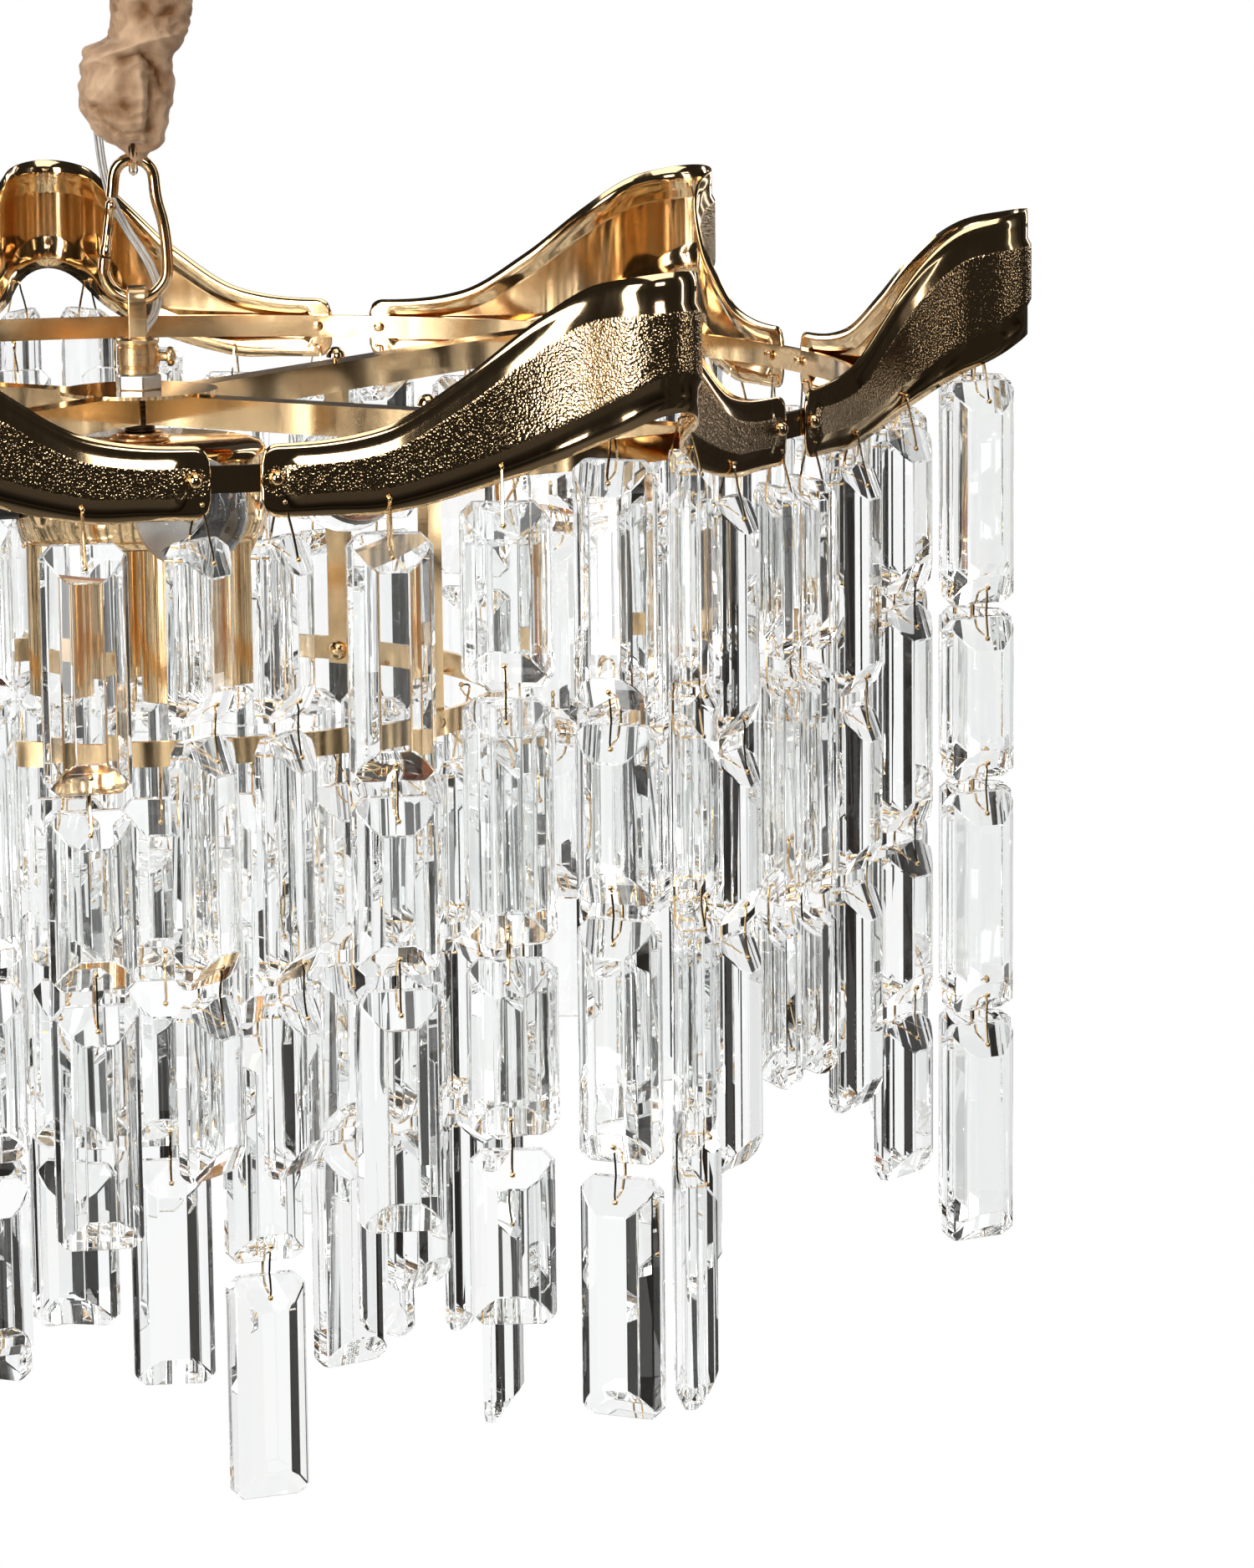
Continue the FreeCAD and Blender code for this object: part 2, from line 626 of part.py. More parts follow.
def suspension_eye():
    """Collar on the pipe with the bail that the carabiner holds."""
    roof = num("collar_roof")
    bore = num("pipe_radius") + num("thread_play")
    low = nut_top + 0.05
    collar = prism(num("collar_radius"), collar_top - low, Vector(0, 0, low), sides=20)
    collar = collar.cut(prism(bore, collar_top - roof - low, Vector(0, 0, low), sides=20))
    wide = num("cord_slot")
    collar = collar.cut(Part.makeBox(9, wide, roof + 0.4, Vector(-1.0, -wide / 2, collar_top - roof - 0.2)))
    groove = prism(num("collar_radius") + 1, 0.8, Vector(0, 0, low + 2.0), sides=20)
    groove = groove.cut(prism(num("collar_radius") - 0.5, 0.8, Vector(0, 0, low + 2.0), sides=20))
    collar = collar.cut(groove)
    thread = prism(num("thumb_radius") + 0.3, 10, Vector(0, 0, thumb_level), Vector(1, 0, 0))
    collar = collar.cut(thread)
    half = num("bail_window") / 2
    strip = num("bail_strip")
    width = num("bail_width")
    rod_top = num("snap_foot_radius") - num("snap_wire") / 2
    under = snap_foot - math.sqrt(rod_top ** 2 - (width / 2) ** 2) + num("joint_gap")
    legs = Part.makeBox(width, 2 * (half + strip), under + strip - collar_top,
                        Vector(-width / 2, -half - strip, collar_top))
    window = Part.makeBox(width + 2, 2 * half, under - collar_top, Vector(-width / 2 - 1, -half, collar_top))
    piece("suspension_eye", collar.fuse(legs.cut(window)).removeSplitter())


def stem_pipe():
    """Threaded pipe: the cord runs down inside it."""
    high = collar_top - num("collar_roof") - 0.3
    low = hoop_level - num("pipe_tail")
    outer = num("pipe_radius") * math.cos(math.pi / 20)
    pipe = prism(outer, high - low, Vector(0, 0, low), sides=20)
    piece("stem_pipe", pipe.cut(prism(num("pipe_bore"), high - low, Vector(0, 0, low), sides=20)))


def stem_nuts():
    """Lamp nut above the hub, and the stepped washer and nut on the lamp tray."""
    bore = num("pipe_radius") + num("thread_play")
    flats = num("nut_flats") / 2 / math.cos(math.pi / 6)
    nut = Part.Face(Part.makePolygon([polar(flats, 60 * step + 10, hub_top) for step in range(7)]))
    nut = nut.extrude(Vector(0, 0, num("nut_height")))
    nut = nut.cut(prism(bore, 20, Vector(0, 0, hub_top - 5), sides=20))
    low = tray_level + 0.1
    washer = prism(10, 1.3, Vector(0, 0, low), sides=20)
    washer = washer.fuse(prism(7.6, 1.3, Vector(0, 0, low + 1.3), sides=20)).removeSplitter()
    washer = washer.cut(prism(bore, 20, Vector(0, 0, low - 5), sides=20))
    under = nut.translated(Vector(0, 0, tray_level - num("tray_wall") - 0.1 - nut_top))
    piece("stem_nuts", Part.makeCompound([nut, washer, under]))


def thumb_screw():
    """Small screw that locks the collar on the pipe."""
    start = num("pipe_radius") + 0.3
    end = num("thumb_reach")
    head = num("thumb_head_radius")
    shank = num("thumb_radius")
    shape = turned(((0, start), (shank, start), (shank, end - 4.4), (head, end - 4.0), (head, end - 0.6),
                    (head - 0.6, end), (0, end)), 8)
    shape.Placement = Placement(Vector(0, 0, thumb_level), Rotation(Vector(0, 1, 0), 90))
    piece("thumb_screw", shape)


# ---------------------------------------------------------------------------- frame
def hub_disc():
    """Disc that clamps the arms."""
    body = doc.addObject("PartDesign::Body", "hub_disc")
    plan = body_sketch(body, "XY_Plane", "hub_plan")
    circle(plan, 0, 0, dim("hub_radius"))
    circle(plan, 0, 0, dim("pipe_radius") + dim("joint_gap"))
    pad(body, plan, dim("hub_thickness"), "hub_plate")
    body.setExpression("Placement.Base.z", f"0 - sizes.hoop_drop + sizes.hub_height")
    keep(body, "hub_disc")


def arm_master():
    """One channel arm along +X, open below."""
    body = doc.addObject("PartDesign::Body", "arm_master")
    section = body_sketch(body, "YZ_Plane", "arm_section")
    half = dim("arm_size") * 0.5
    inner = half - dim("arm_wall")
    deep = dim("arm_size")
    outline(section, ((-half, 0), (-half, -deep), (-inner, -deep), (-inner, -dim("arm_wall")),
                      (inner, -dim("arm_wall")), (inner, -deep), (half, -deep), (half, 0)))
    pad(body, section, dim("hoop_radius"), "arm_channel")
    return body


def strap_master():
    """One drop strap, drilled in its top end and across its foot."""
    body = doc.addObject("PartDesign::Body", "strap_master")
    plan = body_sketch(body, "XZ_Plane", "strap_side")
    outer = dim("ring_radius") - dim("joint_gap")
    inner = outer - dim("strap_thickness")
    top = -dim("arm_wall") - dim("joint_gap")
    low = top - dim("ring_drop") - dim("ring_height") * 0.5
    outline(plan, ((inner, low), (outer, low), (outer, top), (inner, top)))
    pad(body, plan, dim("strap_width"), "strap_bar", middle=True)
    return body


def cross_arms(master):
    """Four channel arms, trimmed to the hoop and drilled for their dome screws."""
    rim = prism(num("hoop_radius") - num("joint_gap") - 0.2, 40, Vector(0, 0, -20), sides=180)
    hub = prism(num("arm_start"), 40, Vector(0, 0, -20), sides=16)
    screw_at = num("ring_radius") - num("strap_thickness") / 2 - num("joint_gap")
    drill = prism(num("screw_radius") + num("joint_gap"), 4, Vector(screw_at, 0, -2))
    arm = master.Shape.common(rim).cut([hub, drill])
    base = Vector(0, 0, hub_under)
    return [placed(arm, angle, base) for angle in arm_angles()]


def arm_angles():
    count = int(num("arm_count"))
    return [num("arm_angle") + 360.0 * index / count for index in range(count)]


def dome(shank_length, sides=8):
    """Dome-headed screw with its seat at zero, head up."""
    head = num("dome_radius")
    shank = num("screw_radius")
    return turned(((0, -shank_length), (shank, -shank_length), (shank, 0), (head, 0), (head, 1.2),
                   (head * 0.7, 3.0), (0, 3.8)), sides)


def drop_straps(master):
    """Straps that carry the lower ring, with the holes of their screws."""
    screw_at = num("ring_radius") - num("strap_thickness") / 2 - num("joint_gap")
    bore = num("screw_radius") + num("joint_gap")
    foot = strap_foot() - hub_under
    strap = master.Shape.cut(prism(bore, 12, Vector(screw_at, 0, -12)))
    strap = strap.cut(prism(bore, 12, Vector(screw_at - 6, 0, foot), Vector(1, 0, 0)))
    piece("drop_straps", Part.makeCompound([placed(strap, a, Vector(0, 0, hub_under)) for a in arm_angles()]))


def strap_foot():
    """Height of the screw through a strap's foot and the lower ring."""
    return hoop_level - num("ring_drop")


def strap_screws():
    """Dome screws on the arms and through the straps' feet."""
    screw_at = num("ring_radius") - num("strap_thickness") / 2 - num("joint_gap")
    upper = dome(8.0)
    lower = dome(num("strap_thickness") + num("ring_thickness") - 0.4)
    lower = lower.copy()
    lower.Placement = Placement(Vector(num("ring_radius") - num("joint_gap") - num("strap_thickness") - 0.05,
                                       0, strap_foot()), Rotation(Vector(0, 1, 0), -90))
    screws = []
    for angle in arm_angles():
        screws.append(placed(upper, angle, polar(screw_at, angle, hub_under + 0.05)))
        screws.append(placed(lower, angle))
    piece("strap_screws", Part.makeCompound(screws))


def lower_ring():
    """Lower ring with the holes of the straps' screws."""
    strip = strip_body("lower_ring_strip", dim("ring_radius"), dim("ring_thickness"), dim("ring_height"),
                       hoop_height_size - dim("ring_drop"))
    bore = num("screw_radius") + num("joint_gap")
    drills = [prism(bore, 12, polar(num("ring_radius") - 4, a, strap_foot()), polar(1, a)) for a in arm_angles()]
    keep(cut("lower_ring", strip, helper("ring_drills", Part.makeCompound(drills))), "lower_ring")


def strip_body(label, inner, thick, tall, middle):
    """Strip rolled into a hoop, about a sized height."""
    body = doc.addObject("PartDesign::Body", label)
    section = body_sketch(body, "XZ_Plane", label + "_section")
    low = middle - tall * 0.5
    high = middle + tall * 0.5
    outline(section, ((inner, low), (inner + thick, low), (inner + thick, high), (inner, high)))
    turn(body, section, label + "_turn")
    return body


# ---------------------------------------------------------------------------- leaf plates
leaf_count = int(num("leaf_count"))
leaf_back = num("hoop_radius") + num("hoop_thickness") + num("leaf_seat_gap")


def leaf_peaks():
    return [num("first_peak") + 360.0 * index / leaf_count for index in range(leaf_count)]


def share(table, at):
    """Straight-line reading of a table of pairs."""
    for (x0, y0), (x1, y1) in zip(table, table[1:]):
        if at <= x1 + 1e-9:
            return y0 + (y1 - y0) * (at - x0) / (x1 - x0)
    return table[-1][1]


def leaf_curve():
    """Inner face of a leaf in plan, its tip on +X."""
    end_angle = 180.0 / leaf_count - math.degrees(num("leaf_end_gap") / 2 / leaf_back)
    half = [(0, leaf_back + num("leaf_out"))]
    for name in ("shoulder", "flank", "neck", "heel"):
        half.append((num(name + "_angle"), leaf_back + num(name + "_out")))
    half.append((end_angle, leaf_back))
    points = [polar(reach, -angle) for angle, reach in reversed(half[1:])]
    points += [polar(reach, angle) for angle, reach in half]
    curve = Part.BSplineCurve()
    curve.interpolate(points)
    return curve


plan_curve = leaf_curve()
half_leaf = plan_curve.length() / 2


def leaf_point(at):
    """Place on the inner face and its outward normal; at runs 0 (end) to 1 (tip) to 2 (other end)."""
    parameter = plan_curve.parameterAtDistance(max(0.0, min(2.0, at)) * half_leaf, plan_curve.FirstParameter)
    point = plan_curve.value(parameter)
    tangent = plan_curve.tangent(parameter)[0]
    return point, Vector(tangent.y, -tangent.x, 0)


def leaf_edges(at):
    """Lower and upper edge at a place on the leaf."""
    near = at if at <= 1 else 2 - at
    low = num("leaf_under_foot") + (num("leaf_under_crest") - num("leaf_under_foot")) * share(LOWER_EDGE, near)
    high = num("leaf_foot") + (num("leaf_crest") - num("leaf_foot")) * share(UPPER_EDGE, near)
    return low, high


def leaf_section(at):
    """Section of the stamped sheet: smooth rims, slopes and the raised panel."""
    point, normal = leaf_point(at)
    near = at if at <= 1 else 2 - at
    low, high = leaf_edges(at)
    rim = num("rim_foot") + (num("rim_crest") - num("rim_foot")) * near
    raised = num("leaf_emboss")
    slope = num("leaf_step")
    if near < LEAF_STATIONS[2]:
        raised = 0.0
    if near < LEAF_STATIONS[1]:
        low += num("leaf_corner")
        high -= num("leaf_corner")
        rim = num("rim_foot") * 0.5
    sheet = num("leaf_sheet")
    profile = ((sheet, low), (sheet, low + rim), (sheet + raised, low + rim + slope),
               (sheet + raised, high - rim - slope), (sheet, high - rim), (sheet, high),
               (0, high), (0, high - rim), (raised, high - rim - slope),
               (raised, low + rim + slope), (0, low + rim), (0, low))
    return [point + normal * out + Vector(0, 0, hoop_level + z) for out, z in profile]


def pin_stations():
    """The eight pin holes of a leaf, with the prisms of each strand."""
    near = [(at, prisms) for at, prisms in zip(PIN_STATIONS, LEAF_STRANDS)]
    return near + [(2 - at, prisms) for at, prisms in near]


def leaf_shape():
    """Stamped leaf with its pin holes and rivet holes, tip on +X."""
    stations = list(LEAF_STATIONS) + [2 - at for at in reversed(LEAF_STATIONS[:-1])]
    solid = skinned([leaf_section(at) for at in stations])
    across = num("pin_hole")
    tools = []
    for at, _prisms in pin_stations():
        point, normal = leaf_point(at)
        level = hoop_level + leaf_edges(at)[0] + num("pin_edge")
        box = Part.makeBox(8, across, across, Vector(-4, -across / 2, -across / 2))
        angle = math.degrees(math.atan2(normal.y, normal.x))
        tools.append(placed(box, angle, point + Vector(0, 0, level)))
    for at in rivet_stations():
        point, normal = leaf_point(at)
        start = point - normal * 4 + Vector(0, 0, hoop_level)
        tools.append(prism(num("rivet_shank") + 0.2, 8, start, normal, 6))
    return solid.cut(tools)


def rivet_stations():
    at = num("rivet_inset") / half_leaf
    return at, 2 - at


def leaf_plates():
    shape = leaf_shape()
    for index, peak in enumerate(leaf_peaks(), start=1):
        piece(f"leaf_plate_{index}", placed(shape, peak))


def rivet_places():
    """Foot and direction of every leaf rivet."""
    places = []
    for peak in leaf_peaks():
        for at in rivet_stations():
            point, normal = leaf_point(at)
            turned_by = Rotation(Vector(0, 0, 1), peak)
            places.append((turned_by.multVec(point), turned_by.multVec(normal)))
    return places


def leaf_rivets():
    """Round-headed rivets through leaf and hoop."""
    head = num("rivet_head")
    shank = num("rivet_shank")
    back = -num("leaf_seat_gap") - num("hoop_thickness") - 0.3
    face = num("leaf_sheet") + 0.1
    shape = turned(((0, back - 0.8), (shank + 0.8, back - 0.8), (shank + 0.8, back), (shank, back), (shank, face),
                    (head, face + 0.2), (head * 0.8, face + 1.8), (0, face + 2.6)), 6)
    rivets = []
    for point, normal in rivet_places():
        copy = shape.copy()
        copy.Placement = Placement(point + Vector(0, 0, hoop_level), Rotation(Vector(0, 0, 1), normal))
        rivets.append(copy)
    piece("leaf_rivets", Part.makeCompound(rivets))


def main_hoop():
    """Main hoop with the rivet holes."""
    strip = strip_body("main_hoop_strip", dim("hoop_radius"), dim("hoop_thickness"), dim("hoop_height"),
                       hoop_height_size)
    drills = []
    for point, normal in rivet_places():
        start = point - normal * 6 + Vector(0, 0, hoop_level)
        drills.append(prism(num("rivet_shank") + 0.2, 9, start, normal, 6))
    keep(cut("main_hoop", strip, helper("hoop_drills", Part.makeCompound(drills))), "main_hoop")


# ---------------------------------------------------------------------------- lamps
def angles_from(first, count):
    return [first + 360.0 * index / count for index in range(count)]


lamp_count = int(num("lamp_count"))
tray_floor = tray_level - num("tray_height")


def lamp_tray():
    """Canister that carries the lamps: round top, flared wall, floor with four openings."""
    outer = num("tray_radius")
    foot = outer - num("tray_flare")
    wall = num("tray_wall")
    bore = num("pipe_radius") + num("joint_gap")
    high = tray_level
    low = tray_floor
    profile = ((bore, high), (outer - 4, high), (outer, high - 3), (outer, high - 22), (foot, low), (bore, low),
               (bore, low + wall), (foot - wall * 0.7, low + wall), (outer - wall, high - 22),
               (outer - wall, high - 3.5), (outer - 4.5, high - wall), (bore, high - wall))
    shell = turned(profile, 24)
    tools = []
    for angle in angles_from(num("tube_angle"), lamp_count):
        tools.append(prism(3.0, 6, polar(num("tube_circle"), angle, low - 2), sides=6))
    for angle in angles_from(num("side_lamp_angle"), lamp_count):
        start = polar(outer - 6, angle, hoop_level - num("side_lamp_drop"))
        tools.append(prism(3.0, 9, start, polar(1, angle), 6))
    piece("lamp_tray", shell.cut(tools))


def lamp_tubes():
    """Open gold tubes under the tray."""
    outer = num("tube_radius")
    inner = outer - num("tube_wall")
    high = tray_floor - 0.1
    low = high - num("tube_length")
    roof = high - 1.0
    hole = 3.0
    tube = turned(((hole, high), (outer, high), (outer, low), (inner, low), (inner, roof), (hole, roof)), 12)
    spots = angles_from(num("tube_angle"), lamp_count)
    piece("lamp_tubes", Part.makeCompound([placed(tube, a, polar(num("tube_circle"), a)) for a in spots]))


def lamp_places():
    """Where each lamp stands: foot of its socket and the way it looks."""
    places = []
    for angle in angles_from(num("tube_angle"), lamp_count):
        places.append((polar(num("tube_circle"), angle, tray_floor - 1.2), Vector(0, 0, -1), "candle"))
    for angle in angles_from(num("side_lamp_angle"), lamp_count):
        level = hoop_level - num("side_lamp_drop")
        places.append((polar(num("tray_radius") + 0.2, angle, level), polar(1, angle), "globe"))
    return places


def aimed(shape, base, way):
    copy = shape.copy()
    copy.Placement = Placement(base, Rotation(Vector(0, 0, 1), way))
    return copy


def lamp_sockets():
    """Cup-shaped sockets: four under the tray, four on its wall."""
    outer = num("socket_radius")
    bore = num("socket_bore")
    long = num("socket_length")
    cup = turned(((0, 0), (outer, 0), (outer, long), (bore, long), (bore, 1.4), (0, 1.4)), 10)
    piece("lamp_sockets", Part.makeCompound([aimed(cup, base, way) for base, way, _kind in lamp_places()]))


def lamp_bulbs():
    """Clear bulbs: candles in the tubes, globes on the wall."""
    cap = num("cap_radius")
    long = num("socket_length")
    wide = num("candle_radius")
    end = long + num("candle_length")
    candle = turned(((0, 1.6), (cap, 1.6), (cap, long + 0.6), (wide, long + 6), (wide, end - 12),
                     (wide * 0.55, end - 4), (0, end)), 10)
    radius = num("globe_radius")
    centre = num("globe_reach") - num("tray_radius")
    profile = [(0, 1.6), (cap, 1.6), (cap, long + 0.6)]
    for step in range(6):
        angle = math.radians(-48 + step * (90 + 48) / 5)
        profile.append((radius * math.cos(angle), centre + radius * math.sin(angle)))
    profile[-1] = (0, centre + radius)
    globe = turned(profile, 12)
    shapes = {"candle": candle, "globe": globe}
    piece("lamp_bulbs", Part.makeCompound([aimed(shapes[kind], base, way) for base, way, kind in lamp_places()]))


# ---------------------------------------------------------------------------- crystals
def crystal_master(label, length):
    """Prism hanging from z = 0: flat back, front facet, side bevels, sloping end facets.
    The wire's line lies in the middle of its end face; the front looks to -Y."""
    body = doc.addObject("PartDesign::Body", label)
    plan = body_sketch(body, "XY_Plane", label + "_section")
    half = dim("crystal_width") * 0.5
    face = dim("crystal_face") * 0.5
    back = dim("crystal_side") * 0.5
    front = back - dim("crystal_depth")
    outline(plan, ((-half, back), (-half, -back), (-face, front), (face, front), (half, -back), (half, back)))
    pad(body, plan, length, label + "_bar", reverse=True)
    ends = body_sketch(body, "YZ_Plane", label + "_ends")
    moon = dim("crystal_moon")
    beyond = front - 1
    outline(ends, ((-back, 0), (-back, 1), (beyond, 1), (beyond, -moon), (front, -moon)))
    outline(ends, ((-back, -length), (-back, -length - 1), (beyond, -length - 1), (beyond, -length + moon),
                   (front, -length + moon)))
    through(body, ends, label + "_facets")
    return body


crystal_lengths = {"L": num("long_crystal"), "S": num("short_crystal")}


def strand(prisms, place, facing, top, twist=0.0):
    """Prisms of one strand and the wires between them; place is the wire's line in plan."""
    crystals = []
    wires = []
    wire = num("wire_thickness")
    reach = num("crystal_hole")
    gap = num("crystal_gap")
    level = top
    angle = facing + 90 + twist
    for index, kind in enumerate(prisms):
        base = Vector(place.x, place.y, level)
        crystals.append(placed(crystal_shapes[kind], angle, base))
        if index > 0:
            long = 2 * reach + gap + wire
            bar = Part.makeBox(wire, wire, long, Vector(-wire / 2, num("crystal_side") / 2 + num("wire_play"),
                                                        -reach - wire / 2))
            wires.append(placed(bar, angle, base))
        level -= crystal_lengths[kind] + gap
    return crystals, wires


def bent_wire(points, thickness, place, angle):
    """Flat outline in the plane of the wire, given its thickness; x is outward."""
    flat = [Vector(x, -thickness / 2, z) for x, z in points]
    face = Part.Face(Part.makePolygon(flat + [flat[0]]))
    return placed(face.extrude(Vector(0, thickness, 0)), angle, place)


def leaf_strand(peak, at, prisms):
    """A strand under one pin hole of the leaf whose tip is at an angle."""
    point, normal = leaf_point(at)
    spin = Rotation(Vector(0, 0, 1), peak)
    wire = num("wire_thickness")
    back = num("leaf_play") + wire / 2
    place = spin.multVec(point - normal * back)
    facing = math.degrees(math.atan2(normal.y, normal.x)) + peak
    hole = hoop_level + leaf_edges(at)[0] + num("pin_edge")
    top = hole - num("pin_drop") + num("crystal_hole")
    twist = num("valley_twist") if prisms == LEAF_STRANDS[-1] else 0.0
    crystals, wires = strand(prisms, place, facing, top, twist)
    half = wire / 2
    end = back + num("leaf_sheet") + 1.4
    hook = ((-half, top + num("wire_play")), (half, top + num("wire_play")), (half, hole - half),
            (end, hole - half), (end, hole + half), (-half, hole + half))
    wires.append(bent_wire(hook, wire, place, facing))
    return crystals, wires


def curtain(index):
    """The eight strands between two leaf tips: half of one leaf and half of the next."""
    peaks = leaf_peaks()
    crystals = []
    wires = []
    for at, prisms in pin_stations():
        peak = peaks[index] if at > 1 else peaks[(index + 1) % leaf_count]
        more_crystals, more_wires = leaf_strand(peak, at, prisms)
        crystals += more_crystals
        wires += more_wires
    piece(f"crystals_{index + 1}", Part.makeCompound(crystals))
    piece(f"wire_pins_{index + 1}", Part.makeCompound(wires))


def rim_strand(prisms, angle, turn, inner, thick, tall, middle):
    """A strand inside a hoop strip, on a hook over the strip's upper edge; a turn of 0 looks outward."""
    wire = num("wire_thickness")
    seat = num("inner_seat")
    line = inner - seat - wire / 2
    place = polar(line, angle)
    high = middle + tall / 2 + 0.3
    top = middle - tall / 2 - num("pin_drop") + num("crystal_hole")
    crystals, wires = strand(prisms, place, angle + turn, top)
    half = wire / 2
    end = seat + half + thick + num("leaf_play")
    hook = ((-half, top + num("wire_play")), (half, top + num("wire_play")), (half, high), (end, high),
            (end, high - 3), (end + wire, high - 3), (end + wire, high + wire), (-half, high + wire))
    wires.append(bent_wire(hook, wire, place, angle))
    return crystals, wires


def inner_row():
    """Strands inside the hoop, two behind each leaf tip; one stands aside for an arm."""
    crystals = []
    wires = []
    clear = math.degrees((num("arm_size") / 2 + 3.0) / num("hoop_radius"))
    for peak in leaf_peaks():
        for sign in (-1, 1):
            angle = peak + sign * num("inner_offset")
            for arm in arm_angles():
                if abs((angle - arm + 180) % 360 - 180) < clear:
                    angle = arm + clear
            more_crystals, more_wires = rim_strand(INNER_STRAND, angle, 180, num("hoop_radius"),
                                                   num("hoop_thickness"), num("hoop_height"), hoop_level)
            crystals += more_crystals
            wires += more_wires
    piece("inner_crystals", Part.makeCompound(crystals))
    piece("inner_pins", Part.makeCompound(wires))


def ring_row():
    """Strands round the lower ring, longest to shortest and back, six times."""
    crystals = []
    wires = []
    count = int(num("ring_strands"))
    middle = hoop_level - num("ring_drop")
    for index in range(count):
        angle = num("ring_strand_angle") + 360.0 * index / count
        more_crystals, more_wires = rim_strand(RING_STRANDS[index % len(RING_STRANDS)], angle, 0,
                                               num("ring_radius"), num("ring_thickness"), num("ring_height"), middle)
        crystals += more_crystals
        wires += more_wires
    piece("ring_crystals", Part.makeCompound(crystals))
    piece("ring_pins", Part.makeCompound(wires))


# ---------------------------------------------------------------------------- building
ceiling_bracket()
canopy()
canopy_screws()
ceiling_hook()
chain_links()
velvet_sleeve()
carabiner()
carabiner_gate()
power_cord()
suspension_eye()
stem_pipe()
stem_nuts()
thumb_screw()
hub_disc()
arm_body = arm_master()
strap_body = strap_master()
main_hoop()
lower_ring()
long_body = crystal_master("long_crystal_master", dim("long_crystal"))
short_body = crystal_master("short_crystal_master", dim("short_crystal"))
doc.recompute()
crystal_shapes = {"L": long_body.Shape, "S": short_body.Shape}
piece("cross_arms", Part.makeCompound(cross_arms(arm_body)))
drop_straps(strap_body)
strap_screws()
leaf_plates()
leaf_rivets()
lamp_tray()
lamp_tubes()
lamp_sockets()
lamp_bulbs()
inner_row()
ring_row()
for curtain_index in range(leaf_count):
    curtain(curtain_index)
doc.recompute()

for obj in doc.Objects:
    if "Invalid" in obj.State or "Error" in obj.State:
        raise RuntimeError(f"{obj.Label} is in the state {obj.State}")
for obj in doc_parts:
    if obj.Shape.isNull() or not obj.Shape.isValid():
        raise RuntimeError(f"{obj.Label} has no valid shape")
    if obj.Shape.Volume <= 0:
        raise RuntimeError(f"{obj.Label} has no volume")
for obj in doc_parts:
    obj.Shape.exportStep(f"parts/{obj.Label}.step")
    print(obj.Label, round(obj.Shape.Volume), len(obj.Shape.Solids), len(obj.Shape.Faces))
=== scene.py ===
import math
import random

import bmesh
import bpy
from mathutils import Matrix, Vector
from mathutils.noise import noise as noise_at


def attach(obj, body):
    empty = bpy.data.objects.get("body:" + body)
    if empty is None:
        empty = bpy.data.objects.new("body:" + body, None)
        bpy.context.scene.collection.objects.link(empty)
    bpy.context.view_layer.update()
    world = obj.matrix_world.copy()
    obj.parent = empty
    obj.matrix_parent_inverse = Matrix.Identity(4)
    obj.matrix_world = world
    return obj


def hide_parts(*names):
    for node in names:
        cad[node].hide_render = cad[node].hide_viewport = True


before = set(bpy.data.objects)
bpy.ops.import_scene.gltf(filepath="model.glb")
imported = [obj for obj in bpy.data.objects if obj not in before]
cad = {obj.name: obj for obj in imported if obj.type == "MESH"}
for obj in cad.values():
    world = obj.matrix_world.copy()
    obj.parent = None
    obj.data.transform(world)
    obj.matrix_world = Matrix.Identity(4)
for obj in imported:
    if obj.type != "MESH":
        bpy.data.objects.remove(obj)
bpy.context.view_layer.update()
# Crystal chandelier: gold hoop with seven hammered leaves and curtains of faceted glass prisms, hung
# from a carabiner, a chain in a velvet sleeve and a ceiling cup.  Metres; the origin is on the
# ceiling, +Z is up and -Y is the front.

scene = bpy.context.scene
hoop_level = -0.184

# ---------------------------------------------------------------- camera, studio
# A long lens a little above the hoop looks slightly down at the front of the lamp.  The sweep is
# pale paper; dark cards outside the view give the gold and the glass something dark to show.
focal_pixels = 6874
picture_pixels = 1500
lens = bpy.data.cameras.new("camera")
lens.sensor_fit = "HORIZONTAL"
lens.sensor_width = 36.0
lens.lens = focal_pixels * lens.sensor_width / picture_pixels
lens.clip_end = 50.0
camera = bpy.data.objects.new("camera", lens)
pan, down, roll = math.radians(-4.709), math.radians(9.997), math.radians(-0.592)
camera.matrix_world = (Matrix.Translation((0.0040, -1.9047, 0.0178)) @ Matrix.Rotation(pan, 4, "Z")
                       @ Matrix.Rotation(math.pi / 2 - down, 4, "X") @ Matrix.Rotation(roll, 4, "Z"))
scene.collection.objects.link(camera)
scene.camera = camera
scene.view_settings.view_transform = "Standard"
# light has to pass many prisms, one behind the other
scene.cycles.max_bounces = 32
scene.cycles.glossy_bounces = 16
scene.cycles.transmission_bounces = 32


def node(tree, kind, **values):
    """One shader node; values set its properties, or its inputs by name."""
    made = tree.nodes.new(kind)
    for key, value in values.items():
        if key in made.bl_rna.properties:
            setattr(made, key, value)
        else:
            made.inputs[key.replace("_", " ")].default_value = value
    return made


def bare_material(name):
    """A material with an output and nothing else."""
    made = bpy.data.materials.new(name)
    made.use_nodes = True
    made.node_tree.nodes.clear()
    return made, made.node_tree


